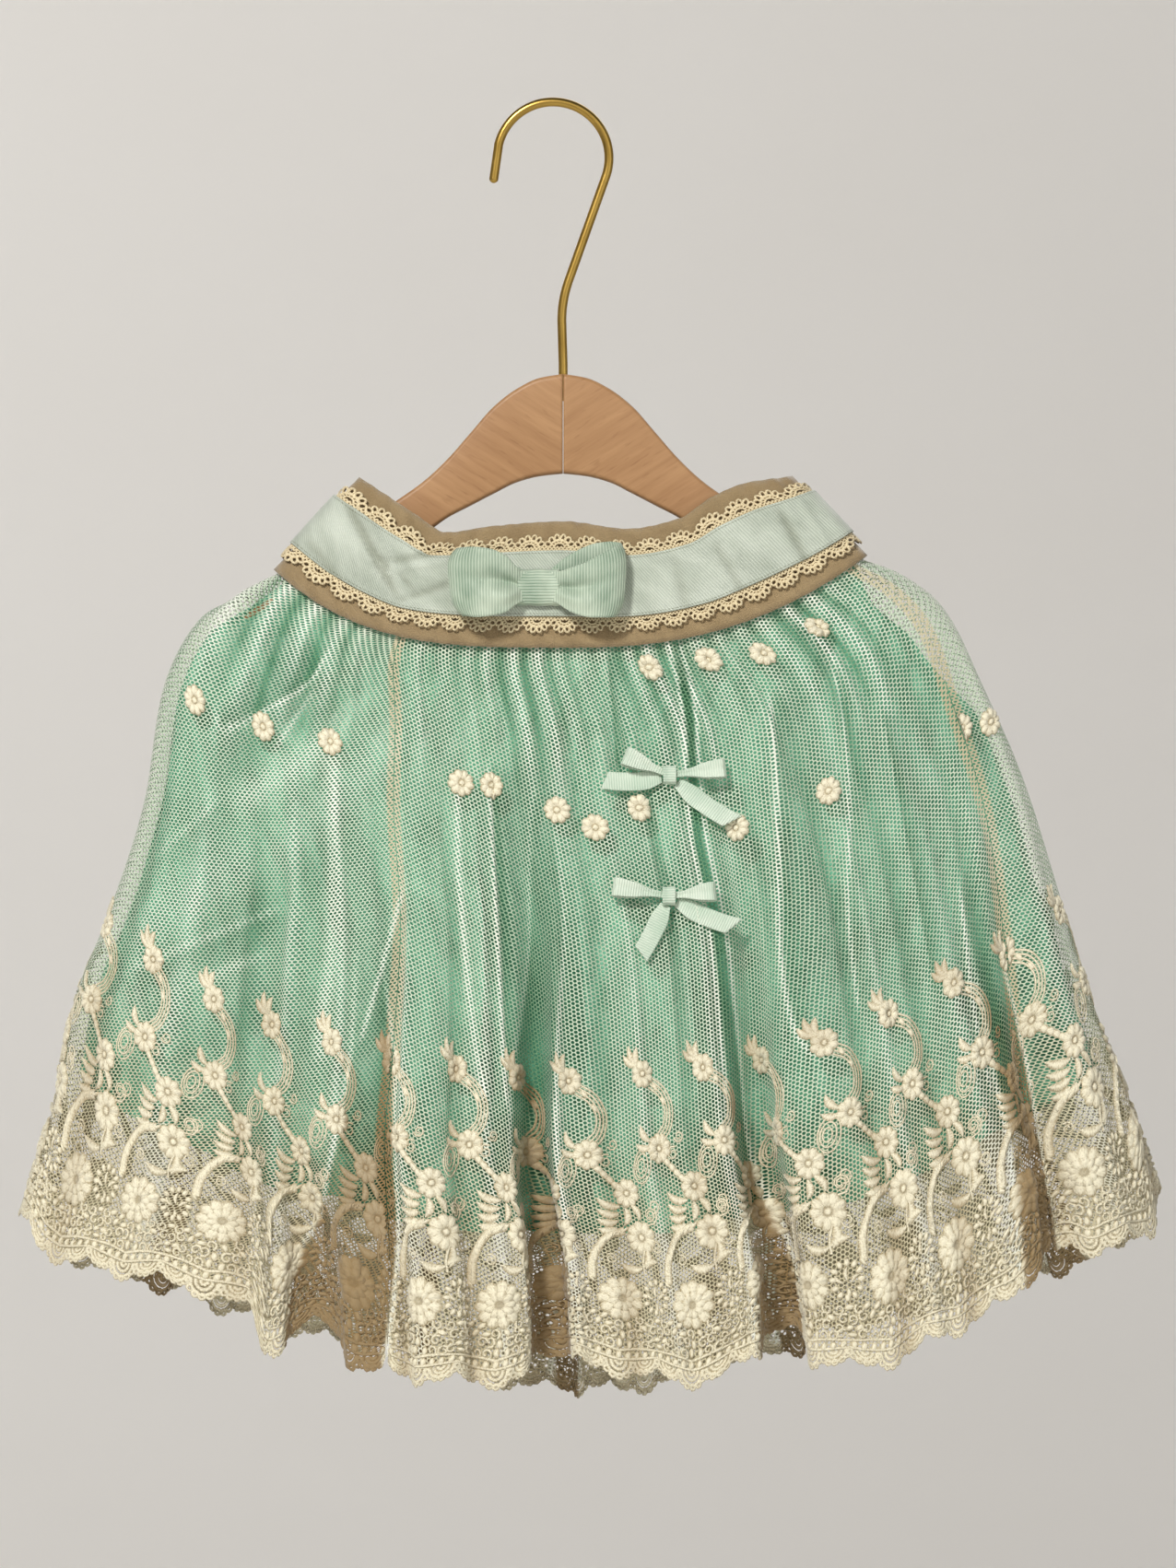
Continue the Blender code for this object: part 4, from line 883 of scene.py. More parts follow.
def recesses(place, share, half_lengths):
    """How much shade is painted on the cloth between two lapped edges, and how near it lies to their rims,
    where a highlight is painted.
    """
    shadow, rim = np.zeros((2, *np.shape(place)))
    place = np.mod(place, 2)
    length = sum(half_lengths) / 2
    soft = RECESS_SOFT / length
    for rows in RECESSES:
        shares, *columns = np.transpose(rows)
        left, right, depth = (np.interp(share, shares, column) for column in columns)
        shadow += depth * swell(left - soft, left + soft, right - soft, right + soft, place)
        for outside in ((left - place) * length, (place - right) * length):
            rim += depth * bell(outside - RIM_PLACE, RIM_HALF)
    return np.clip(shadow, 0, 1), np.clip(rim, 0, 1)


def drag_depth(place, share, half_lengths):
    """How far the slanting drags push the cloth inwards."""
    total = np.zeros_like(place)
    place = np.mod(place, 2)
    length = sum(half_lengths) / 2
    for drag in named(DRAG_COLUMNS, DRAGS):
        run = (drag["end_place"] - drag["place"]) * length, (drag["end_share"] - drag["share"]) * CLOTH_LENGTH
        reach = math.hypot(*run)
        across = (place - drag["place"]) * length
        down = (share - drag["share"]) * CLOTH_LENGTH
        along = (across * run[0] + down * run[1]) / reach
        aside = (across * run[1] - down * run[0]) / reach
        fade = swell(-0.15 * reach, 0.3 * reach, 0.7 * reach, 1.15 * reach, along)
        total += drag["depth"] * bell(aside, drag["half"]) * fade
    return total


class Cloth:
    """A surface through a grid of points, read by its cloth places and shares with a lift off it."""

    def __init__(self, points, across, down):
        self.points = points
        self.across = np.asarray(across, float)
        self.down = np.asarray(down, float)
        self.outward = unit(np.cross(np.gradient(points, axis=1), -np.gradient(points, axis=0)))

    def at(self, across, down, lift):
        """Points at cloth places and shares; past the last row the cloth goes on straight."""
        across = np.clip(across, self.across[0], self.across[-1])
        col = np.clip(np.searchsorted(self.across, across) - 1, 0, len(self.across) - 2)
        row = np.clip(np.searchsorted(self.down, down) - 1, 0, len(self.down) - 2)
        right = ((across - self.across[col]) / (self.across[col + 1] - self.across[col]))[:, None]
        low = ((down - self.down[row]) / (self.down[row + 1] - self.down[row]))[:, None]

        def between(grid):
            upper = grid[row, col] * (1 - right) + grid[row, col + 1] * right
            lower = grid[row + 1, col] * (1 - right) + grid[row + 1, col + 1] * right
            return upper + (lower - upper) * low

        return between(self.points) + between(self.outward) * np.asarray(lift)[:, None]

    def read(self, grid, across, down):
        """Values of a grid over the cloth, at the nearest of its points."""
        row, col = (
            np.rint(np.interp(value, known, np.arange(len(known)))).astype(int)
            for value, known in ((down, self.down), (across, self.across))
        )
        return grid[row, col]

    def sizes(self):
        """Running lengths in mm: across from the middle column, and down from the first row."""
        steps = np.linalg.norm(np.diff(self.points, axis=1), axis=2)
        along = np.concatenate((np.zeros((len(self.points), 1)), np.cumsum(steps, axis=1)), axis=1)
        along -= along[:, along.shape[1] // 2][:, None]
        falls = np.linalg.norm(np.diff(self.points, axis=0), axis=2)
        down = np.concatenate((np.zeros((1, self.points.shape[1])), np.cumsum(falls, axis=0)))
        return along, down


def mesh_of(name, points, faces, fields=None):
    """A smooth mesh object from points in mm, with named values per point.

    A face that names one corner twice becomes a triangle.
    """
    mesh = bpy.data.meshes.new(name)
    corners = [list(dict.fromkeys(map(int, face))) for face in faces]
    mesh.from_pydata((np.asarray(points) * MM).tolist(), [], corners)
    for field, values in (fields or {}).items():
        values = np.asarray(values, np.float32)
        kind, setting = ("FLOAT_VECTOR", "vector") if values.ndim == 2 else ("FLOAT", "value")
        mesh.attributes.new(field, kind, "POINT").data.foreach_set(setting, values.ravel())
    mesh.shade_smooth()
    mesh.update()
    return bpy.data.objects.new(name, mesh)


def grid_faces(rows, columns, closed=False):
    """Quads of a grid, facing outwards when its rows run down and its columns to the right."""
    row, col = np.meshgrid(np.arange(rows - 1), np.arange(columns if closed else columns - 1), indexing="ij")
    after = (col + 1) % columns
    corners = ((row, col), (row + 1, col), (row + 1, after), (row, after))
    return np.stack([r * columns + c for r, c in corners], axis=-1).reshape(-1, 4)


def cloth_mesh(name, cloth, fields=None, even=0.0):
    """The mesh of a whole cloth, with its running sizes for the weave; an even share flattens gathers."""
    along, down = cloth.sizes()
    if even:
        widths = along[:, -1] - along[:, 0]
        smooth = np.polynomial.Polynomial.fit(cloth.down, widths, 3)(cloth.down)
        along = (cloth.across - cloth.across.mean())[None, :] * smooth[:, None] * even
        down = 0 * along + (cloth.down * CLOTH_LENGTH)[:, None]
    values = {field: grid.ravel() for field, grid in (fields or {}).items()}
    values["cloth_mm"] = np.stack((along, -down, 0 * along), axis=-1).reshape(-1, 3)
    return mesh_of(name, cloth.points.reshape(-1, 3), grid_faces(*cloth.points.shape[:2]), values)


def linked(thing):
    bpy.context.scene.collection.objects.link(thing)
    return thing


def placed(piece, material, slot, *nodes):
    """Adds a piece to the scene, riding the one body, for the CAD nodes it stands for."""
    piece.data.materials.append(material)
    linked(piece)
    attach(piece, "root")
    if nodes:
        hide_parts(*nodes)
    return piece


def thickened(piece, wall, side):
    """Gives a thin piece its wall in mm, behind its face for side -1 or round its middle for 0."""
    shell = piece.modifiers.new("Wall", "SOLIDIFY")
    shell.thickness = wall * MM
    shell.offset = side
    return piece


# ---------------------------------------------------------------------------- materials


class Nodes:
    """A material's node tree, built by short calls."""

    def __init__(self, name, roughness, **values):
        self.material = bpy.data.materials.new(name)
        self.material.use_nodes = True
        self.tree = self.material.node_tree
        self.shader = self.tree.nodes["Principled BSDF"]
        self.shader.inputs["Roughness"].default_value = roughness
        for socket, value in values.items():
            self.shader.inputs[socket.replace("_", " ")].default_value = value

    def new(self, kind, inputs=None, **settings):
        made = self.tree.nodes.new(kind)
        for setting, value in settings.items():
            setattr(made, setting, value)
        for socket, value in (inputs or {}).items():
            self.feed(made.inputs[socket], value)
        return made

    def feed(self, socket, value):
        if isinstance(value, bpy.types.NodeSocket):
            self.tree.links.new(value, socket)
        else:
            socket.default_value = value

    def math(self, operation, first, second=0.0, third=0.0, clamp=False):
        inputs = {0: first, 1: second, 2: third}
        return self.new("ShaderNodeMath", inputs, operation=operation, use_clamp=clamp).outputs[0]

    def field(self, name):
        return self.new("ShaderNodeAttribute", attribute_name=name).outputs["Fac"]

    def cloth_place(self):
        """Where a point lies on its own flat cloth, in mm."""
        return self.new("ShaderNodeAttribute", attribute_name="cloth_mm").outputs["Vector"]

    def object_place(self):
        return self.new("ShaderNodeTexCoord").outputs["Object"]

    def scaled(self, value, factor, offset, clamp=True):
        """A value times a factor, plus an offset."""
        return self.math("MULTIPLY_ADD", value, factor, offset, clamp=clamp)

    def times(self, first, second):
        return self.math("MULTIPLY", first, second)

    def mix(self, share, first, second):
        return self.new("ShaderNodeMix", {0: share, 6: first, 7: second}, data_type="RGBA").outputs[2]

    def noise(self, vector, scale, detail, stretch=None):
        if stretch is not None:
            vector = self.new("ShaderNodeMapping", {"Vector": vector, "Scale": stretch}).outputs[0]
        values = {"Vector": vector, "Scale": scale, "Detail": detail, "Roughness": 0.5}
        return self.new("ShaderNodeTexNoise", values).outputs[0]

    def bump(self, height, strength, depth, after=None):
        """A normal raised by up to a depth in mm, over another bump's."""
        values = {"Height": height, "Strength": strength, "Distance": depth * MM}
        if after is not None:
            values["Normal"] = after
        return self.new("ShaderNodeBump", values).outputs[0]

    def finish(self, colour, normal=None, alpha=None):
        for socket, value in (("Base Color", colour), ("Normal", normal), ("Alpha", alpha)):
            if value is not None:
                self.feed(self.shader.inputs[socket], value)
        return self.material


def net_material():
    """A mesh of fine round-cornered holes, denser where the thread is turned from sight or stitched, with a
    painted reflection of the satin above the border, a painted highlight on crests and rims, and painted
    shade in hollows.
    """
    made = Nodes("ivory_net_mesh", 0.85, Sheen_Weight=0.25)
    place = made.cloth_place()
    wave = 4 * math.pi / (math.sqrt(3) * NET_PITCH)
    ripples = []
    for turn in (0.0, math.pi / 3, 2 * math.pi / 3):
        direction = (wave * math.cos(turn), wave * math.sin(turn), 0.0)
        along = made.new("ShaderNodeVectorMath", {0: place, 1: direction}, operation="DOT_PRODUCT")
        ripples.append(made.math("COSINE", along.outputs["Value"]))
    total = made.math("ADD", made.math("ADD", ripples[0], ripples[1]), ripples[2])
    wander = made.scaled(made.noise(place, 0.22, 3.0), 0.7, -0.35, False)
    level = made.math("ADD", made.scaled(made.field("dense"), 3.6, NET_LEVEL, False), wander)
    alpha = made.scaled(made.math("SUBTRACT", level, total), 2.0, 0.5)
    # Ivory thread, tinted mint above the border as a painted reflection of the satin behind it.
    warm = made.mix(made.field("warm"), NET_PAINTED_LINING_TINT, NET_WARM)
    shade = made.mix(made.times(made.noise(place, 0.6, 2.0), 0.35), warm, NET_SHADE)
    # Painted shade in the hollows, and a painted highlight on crests and rims.
    deep = made.mix(made.field("warm"), NET_PAINTED_SHADE_COOL, NET_PAINTED_SHADE_WARM)
    shade = made.mix(made.times(made.field("ridge"), 0.95), shade, NET_PAINTED_HIGHLIGHT)
    shade = made.mix(made.times(made.field("hollow"), 0.95), shade, deep)
    return made.finish(shade, None, alpha)


def satin_material():
    """Crushed satin: cloudy painted sheen and shade over its crush, painted shade in its hollows, small
    wrinkles and a weave.
    """
    made = Nodes("mint_satin_cloth", 0.42, Sheen_Weight=0.2)
    place = made.cloth_place()
    # The lighter and darker mint in clouds and along the crush is painted sheen and shade.
    cloudy = made.noise(place, 0.03, 4.0)
    crush = made.noise(place, 0.06, 5.0, (1.6, 0.7, 1.0))
    tone = made.scaled(cloudy, 1.3, made.scaled(crush, 2.4, -1.3, False))
    shade = made.mix(tone, SATIN_DEEP, SATIN_LIGHT)
    shade = made.mix(made.field("hollow"), shade, SATIN_PAINTED_SHADE)
    weave = made.noise(place, 1.0, 2.0, (3.0, 0.35, 1.0))
    return made.finish(shade, made.bump(crush, 0.8, 3.0, made.bump(weave, 0.15, 0.2)))


def thread_material(name, light, deep):
    """Stitched cotton: fine uneven threads, darker at their low edges as painted shade, with painted shade in
    the net's recesses.
    """
    made = Nodes(name, 0.8, Sheen_Weight=0.3)
    place = made.cloth_place()
    fine = made.noise(place, 2.2, 3.0)
    broad = made.noise(place, 0.15, 2.0)
    # The low parts of each stitch are painted darker, as shade beside the raised thread.
    level = made.scaled(broad, 0.4, made.scaled(made.field("height"), 0.75, -0.75, False), False)
    shade = made.mix(made.scaled(fine, 1.7, level), deep, light)
    shade = made.mix(made.times(made.field("hollow"), 0.9), shade, STITCH_PAINTED_SHADE)
    return made.finish(shade, made.bump(fine, 0.7, 0.35))


def ribbon_material(name, light, deep, pitch=RIB_PITCH, sewn=False):
    """Grosgrain: ribs straight across the ribbon, with fine dents between them painted darker as shade, and
    sewn edges. A sewn ribbon's seam colour also paints shade into its creases.
    """
    made = Nodes(name, 0.5, Sheen_Weight=0.35)
    place = made.cloth_place()
    along = made.new("ShaderNodeSeparateXYZ", {0: place}).outputs[0]
    rib = made.math("SINE", made.times(along, TAU / pitch))
    cloudy = made.noise(place, 0.05, 3.0)
    # The ribs' light and dark stripes are painted shade in the dents, over random clouds.
    shade = made.mix(made.scaled(rib, 0.26, made.scaled(cloudy, 1.9, -0.4, False)), deep, light)
    if sewn:
        # Painted shade in the creases, in the seam colour.
        shade = made.mix(made.times(made.field("hollow"), 0.5), shade, RIBBON_SEAM_AND_SHADE)
        shade = made.mix(made.field("sewn"), shade, RIBBON_SEAM_AND_SHADE)
    fibre = made.noise(place, 2.5, 2.0, (1.0, 3.0, 1.0))
    return made.finish(shade, made.bump(rib, 0.55, 0.16, made.bump(fibre, 0.25, 0.15)))


def velvet_material():
    """Short uneven pile."""
    made = Nodes("beige_velvet_pile", 0.95, Sheen_Weight=0.6)
    place = made.cloth_place()
    fluff = made.noise(place, 1.6, 4.0)
    broad = made.noise(place, 0.12, 3.0)
    tone = made.scaled(fluff, 0.6, made.scaled(broad, 0.7, -0.2, False))
    return made.finish(made.mix(tone, VELVET_DEEP, VELVET_LIGHT), made.bump(fluff, 0.9, 0.6))


def wood_material(name, lean):
    """Beech with fine slanting grain and small flecks."""
    made = Nodes(name, 0.46)
    turn = {"Vector": made.object_place(), "Rotation": (0.0, math.radians(lean), 0.0)}
    place = made.new("ShaderNodeMapping", turn).outputs[0]
    rings = made.noise(place, 26.0, 4.0, (1.0, 4.0, 9.0))
    fibres = made.noise(place, 300.0, 3.0, (0.16, 1.0, 2.4))
    flecks = made.noise(place, 420.0, 1.0, (0.3, 1.0, 1.5))
    fleck = made.times(made.math("SUBTRACT", flecks, 0.6, clamp=True), 2.2)
    tone = made.scaled(fibres, 0.55, made.scaled(rings, 0.9, -0.25, False))
    shade = made.mix(fleck, made.mix(tone, WOOD_DEEP, WOOD_LIGHT), WOOD_FLECK)
    return made.finish(shade, made.bump(fibres, 0.18, 0.2))


def brass_material():
    """Satin brass with fine scuffs."""
    made = Nodes("satin_brass_wire", 0.3, Metallic=1.0)
    place = made.object_place()
    scuff = made.noise(place, 220.0, 4.0)
    tone = made.noise(place, 60.0, 2.0)
    return made.finish(made.mix(tone, BRASS_DEEP, BRASS_LIGHT), made.bump(scuff, 0.12, 0.1))


# ---------------------------------------------------------------------------- net and lining


def detailed_net(panel):
    """The net's outer side with its small folds, drags and scallops, and the shade and highlight painted on
    each point.
    """
    plan = NET_PANELS[panel]
    cloth = np.linspace(0, 1, plan["fine_columns"])
    rows = plan["fine_rows"]
    upper_rows = rows // 3
    shares = np.concatenate((
        np.linspace(TUCKED_SHARE, FINE_SHARE, upper_rows, endpoint=False),
        np.linspace(FINE_SHARE, 1, rows - upper_rows),
    ))
    from_seam = np.minimum(cloth, 1 - cloth)
    ends = smoothstep(0.0, 0.02, from_seam)
    at_seam = smoothstep(0.0, 1 / plan["gathers"], from_seam)
    scallop = SCALLOP_DEPTH * (np.abs(np.sin(math.pi * plan["repeats"] * cloth)) - 0.5)
    gather_reach = 0.17 + waves(cloth, (0.07, 3.7, 1.0), (0.05, 9.1, 0.0))
    wander = cloth + waves(cloth, (0.004, 5.3, 1.0), (0.003, 11.7, 0.0))
    uneven = 0.75 + waves(cloth, (0.35, 7.1, 0.7))
    points, sideways, shades = [], [], []
    for share in shares:
        place = net_place(panel, cloth, share)
        lengths = about_half_lengths(share)
        gather = gather_wave(wander, plan["gathers"], share)
        shown = float(GATHER["net"](share)) * (1.5 - 1.25 * float(smoothstep(0.03, 0.3, share)))
        large = fold_depth(place, share, lengths)
        small = fold_depth(place, share, lengths, 0.0, DETAIL_FOLDS) + drag_depth(place, share, lengths)
        pleats = np.cos(TAU * (plan["gathers"] * 1.45 * cloth + waves(cloth, (0.7, 3.2, 0.0)) + 0.3 * share))
        pleats *= PLEAT_DEPTH * swell(-0.01, 0.03, 0.06, 0.24, share)
        lift = NET_WALL + (gather * shown * uneven + pleats) * at_seam - small * ends
        lift -= HEM_DEEPENING * large * smoothstep(0.35, 0.95, share) * ends
        along = skirt_form(place + PLACE_STEP, share) - skirt_form(place - PLACE_STEP, share)
        along[:, 2] = 0
        lap = lap_shift(place, share, lengths) * smoothstep(0.0, 0.06, from_seam)
        row = skirt_form(place, share) + outward_of(skirt_form, place, share) * lift[:, None]
        row += unit(along) * lap[:, None]
        trough = np.clip(large / TROUGH_DEPTH, 0, 1)
        row[:, 2] -= scallop * smoothstep(0.95, 1.0, share)
        row[:, 2] += HEM_RISE * trough * ends * smoothstep(0.72, 1.0, share)
        points.append(row)
        # Shade is painted in the gathers' dips near the waist, in the large and small troughs and in the
        # recesses. A highlight is painted on gather crests, small ridges and the recesses' rims.
        fall = np.clip(share / gather_reach, 0, 2)
        dip = np.clip(-gather * at_seam, 0, 1) ** (0.8 + 2.2 * fall) * (1 - smoothstep(0.5, 1.5, fall))
        raised = np.clip(gather * at_seam, 0, 1) ** 2 * (1 - smoothstep(0.3, 2.0, fall))
        shadow, rim = recesses(place, share, lengths)
        hollow = 0.4 * trough ** 2 + shadow + 0.17 * np.clip(small, 0, 4) + 0.9 * dip - rim
        ridge = 0.9 * raised + 0.2 * np.clip(-small, 0, 4) - shadow
        shades.append((np.clip(hollow, 0, 1), np.clip(ridge, 0, 1), rim))
        places, outline, _ = skirt_plan(share)
        sideways.append(ring_at(place, places, outline)[1])
    points = np.array(points)
    hollow, ridge, edge = np.array(shades).transpose(1, 0, 2)
    # The front's fold lines add their painted highlight and shade, and raise or sink the cloth a little.
    in_front = np.array([np.mod(net_place(panel, cloth, share), 2) < 1 for share in shares])
    pale, shade = (drawn * in_front for drawn in streaks(points))
    outward = Cloth(points, cloth, shares).outward
    made = Cloth(points + outward * (STREAK_RISE * pale - STREAK_DEPTH * shade)[..., None], cloth, shares)
    made.hollow = np.clip(hollow + shade - 0.7 * pale, 0, 1)
    made.ridge = np.clip(ridge * (1 - shade), 0, 1)
    made.edge = np.clip(edge + pale, 0, 1)
    made.facing = np.abs((made.outward[..., :2] * np.array(sideways)).sum(axis=-1))
    return made


def crests(made, step=3):
    """Where the cloth turns sharply over a fold's crest, from 0 to 1."""
    bend = np.zeros(made.points.shape[:2])
    left, middle, right = made.points[:, :-2 * step], made.points[:, step:-step], made.points[:, 2 * step:]
    width = np.maximum(np.linalg.norm(right - left, axis=2), 0.5)
    sagitta = (((right + left) / 2 - middle) * made.outward[:, step:-step]).sum(axis=2)
    bend[:, step:-step] = -sagitta / width
    return smoothstep(0.05, 0.2, bend)


def build_net(panel, weave):
    """One net panel: thin, see-through and denser at its hem, its folds' sides and its seams."""
    made = detailed_net(panel)
    up = (1 - made.down)[:, None] * CLOTH_LENGTH + 0 * made.across[None, :]
    seam = np.minimum(made.across, 1 - made.across)[None, :] * made.sizes()[0].ptp(axis=1).mean()
    taped = 1 - smoothstep(SEAM_TAPE - 0.8, SEAM_TAPE, seam)
    dense = 0.08 * (1 - made.facing) ** 1.5 + 0.05 * (1 - smoothstep(8, 26, up))
    dense += 0.10 * smoothstep(0.05, -0.01, made.down)[:, None] + 0.22 * taped
    dense += 0.05 * crests(made) + 0.22 * made.edge + 0.04 * made.ridge
    # The warm field marks where the thread shows its own ivory rather than the painted mint reflection of the
    # satin. The two fields after it carry painted shade and painted highlight.
    fields = {
        "dense": dense,
        "warm": np.clip(0.9 * (1 - smoothstep(30, 125, up)) + 0.12 + 0.8 * taped, 0, 1),
        "hollow": made.hollow,
        "ridge": np.clip(made.ridge + made.edge, 0, 1),
    }
    piece = cloth_mesh(f"net_{panel}_cloth", made, fields, NET_EVEN[panel])
    return placed(piece, weave, "ivory_net", f"net_{panel}"), made


def build_lining(name, start, end, gathers, fine_columns, satin):
    """A lining panel with soft crush wrinkles, and shade painted in its troughs, recesses and sunken wrinkles
    and beside the front's fold lines.
    """
    cloth = np.linspace(0, 1, fine_columns)
    place = start + (end - start) * cloth
    shares = np.linspace(*LINING_SHARES, LINING_ROWS)
    points, hollows = [], []
    for share in shares:
        lengths = about_half_lengths(share)
        wrinkle = np.cos(TAU * (6.3 * cloth + 0.9 * np.sin(5 * share)))
        wrinkle += 0.7 * np.cos(TAU * (13.0 * cloth - 1.6 * share + waves(cloth, (0.6, 2.2, 0.0))))
        wrinkle += 0.5 * np.cos(TAU * (21.0 * cloth + 2.4 * share + 1.1 * np.sin(9 * share)))
        sunk = 0.55 * (wrinkle - 2.2) * smoothstep(0, 0.12, share)
        points.append(lining_point(place, cloth, gathers, share, sunk - LINING_SINK))
        # Painted shade in the troughs and recesses and where the wrinkles sink.
        trough = np.clip(fold_depth(place, share, lengths) / TROUGH_DEPTH, 0, 1)
        shadow, _ = recesses(place, share, lengths)
        hollows.append(np.clip(0.4 * trough ** 2 + 0.8 * shadow - 0.24 * (wrinkle - 0.1), 0, 1))
    points = np.array(points)
    shade = streaks(points)[1] * float(end <= 1)
    fields = {"hollow": np.clip(np.array(hollows) + 0.8 * shade, 0, 1)}
    piece = cloth_mesh(f"{name}_satin", Cloth(points, cloth, shares), fields)
    return placed(piece, satin, "mint_satin", name)


# ---------------------------------------------------------------------------- stitching


class Stitches:
    """Raised threads drawn in mm on flat cloth, to be laid on a surface at once."""

    def __init__(self):
        self.points = []
        self.faces = []
        self.heights = []
        self.grains = []
        self.count = 0

    def add(self, points, lifts, faces, heights, grain):
        """Points with lifts off the cloth, how high each stands from 0 to 1, and its place in the thread."""
        self.points.append(np.column_stack((np.asarray(points, float), np.asarray(lifts, float))))
        self.grains.append(np.asarray(grain, float) + 7.3 * len(self.grains))
        self.faces.append(np.asarray(faces) + self.count)
        self.heights.append(np.asarray(heights, float))
        self.count += len(points)

    def stroke(self, path, width, rise=0.55, lift=0.1, closed=False):
        """A line of satin stitch; widths may change along it."""
        path = np.asarray(path, float)
        count = len(path)
        width = np.broadcast_to(np.asarray(width, float), (count,))
        run = np.roll(path, -1, axis=0) - np.roll(path, 1, axis=0) if closed else np.gradient(path, axis=0)
        aside = unit(run)[:, ::-1] * (-1, 1) * width[:, None] / 2
        points = np.stack((path + aside, path, path - aside), axis=1).reshape(-1, 2)
        lifts = np.tile((lift, lift + rise, lift), count)
        faces = grid_faces(count + closed, 3) % (3 * count)
        side = np.stack((-width / 2, 0 * width, width / 2), axis=1).ravel()
        grain = np.column_stack((side * 0.4, np.repeat(run_lengths(path), 3)))
        self.add(points, lifts, faces[:, ::-1], np.tile((0.0, 1.0, 0.0), count), grain)

    def blob(self, centre, reach, aside, turn, rise=0.8, lift=0.1, sides=9):
        """A filled petal or leaf, from its centre, half as long as reach and as wide as aside."""
        angle = np.linspace(0, TAU, sides, endpoint=False)
        ring = np.column_stack((np.cos(angle) * reach, np.sin(angle) * aside))
        inner = 0.5 * ring
        points = np.concatenate((turned(ring, turn), turned(inner, turn), [(0.0, 0.0)])) + centre
        lifts = [lift] * sides + [lift + rise * 0.85] * sides + [lift + rise]
        heights = [0.0] * sides + [0.9] * sides + [1.0]
        here = np.arange(sides)
        after = (here + 1) % sides
        hub = np.full(sides, 2 * sides)
        around = np.column_stack((here, after, after + sides, here + sides))
        middle = np.column_stack((here + sides, after + sides, hub, hub))
        grain = np.concatenate((ring, inner, [(0.0, 0.0)])) * (0.4, 1.0)
        self.add(points, lifts, np.concatenate((around, middle)), heights, grain)

    def flower(self, centre, radius, petals=5, turn=0.3, rise=1.0, lift=0.1):
        """A padded ring of satin stitch, notched into petals, round a low heart."""
        steps = 4 * petals
        angle = turn + TAU * np.arange(steps) / steps
        rays = np.column_stack((np.cos(angle), np.sin(angle)))
        notch = 0.86 + 0.14 * np.abs(np.cos(petals * (angle - turn) / 2)) ** 0.7
        points, heights, grain = [], [], []
        rings = ((1.0, 0.0), (0.86, 0.75), (0.58, 1.0), (0.32, 0.6), (0.24, 0.1))
        for reach, level in rings:
            petal = reach > 0.5
            points.append(rays * (radius * reach * (notch if petal else np.ones(steps)))[:, None] + centre)
            heights.append(level * np.where(petal & (notch < 0.9), 0.45, 1.0))
            grain.append(np.column_stack((np.full(steps, radius * reach * 0.4), angle * radius * 0.6)))
        count = len(rings) * steps
        inmost = np.arange(count - steps, count)
        hub = np.full(steps, count)
        faces = grid_faces(len(rings), steps, closed=True)[:, ::-1]
        cap = np.column_stack((inmost, np.roll(inmost, -1), hub, hub))
        heights = np.concatenate(heights)
        self.add(
            np.concatenate((*points, [centre])), lift + rise * np.append(heights, 0.25),
            np.concatenate((faces, cap)), np.append(heights, 0.3), np.concatenate((*grain, [(0.0, 0.0)])),
        )

    def leaf(self, centre, length, angle, width=None, rise=0.6):
        """A pointed leaf growing from a point at an angle in degrees."""
        along = np.linspace(0, 1, 6)
        path = np.column_stack((along * length, 0.16 * length * np.sin(math.pi * along)))
        wide = (width or length * 0.42) * np.sin(math.pi * np.clip(along * 0.92 + 0.06, 0, 1)) ** 0.8
        self.stroke(turned(path, math.radians(angle)) + centre, np.maximum(wide, 0.15), rise)

    def curl(self, centre, radius, turns=1.2, start=0.0, width=0.9, hand=1.0, rise=0.5):
        """A spiral wound in to its centre."""
        share = np.linspace(0, 1, max(6, int(9 * turns)))
        angle = math.radians(start) + hand * TAU * turns * share
        reach = radius * (1 - 0.72 * share)
        path = np.column_stack((np.cos(angle), np.sin(angle))) * reach[:, None] + centre
        self.stroke(path, width * (1 - 0.3 * share), rise)

    def loop(self, centre, across, up, width=0.8, turn=0.0, sides=10, rise=0.5, lift=0.1):
        """A closed ring of thread."""
        angle = np.linspace(0, TAU, sides, endpoint=False)
        path = np.column_stack((np.cos(angle) * across, np.sin(angle) * up))
        self.stroke(turned(path, math.radians(turn)) + centre, width, rise, lift, closed=True)

    def lines(self, path, gap, count, width=0.8, rise=0.5):
        """Several lines side by side along a smooth path."""
        path = smooth_path(path, 5)
        aside = unit(np.gradient(path, axis=0))[:, ::-1] * (-1, 1)
        for i in range(count):
            self.stroke(path + aside * gap * (i - (count - 1) / 2), width, rise)

    def arrays(self):
        points = np.column_stack((np.concatenate(self.points), np.concatenate(self.grains)))
        return points, np.concatenate(self.faces), np.concatenate(self.heights)


def smooth_path(path, cuts):
    """A smooth curve through a few points."""
    path = np.asarray(path, float)
    padded = np.concatenate(([2 * path[0] - path[1]], path, [2 * path[-1] - path[-2]]))
    found = []
    for i in range(len(path) - 1):
        before, start, end, after = padded[i:i + 4]
        for share in np.linspace(0, 1, cuts, endpoint=False):
            found.append(0.5 * (2 * start + (end - before) * share
                                + (2 * before - 5 * start + 4 * end - after) * share ** 2
                                + (3 * start - before - 3 * end + after) * share ** 3))
    found.append(path[-1])
    return np.array(found)


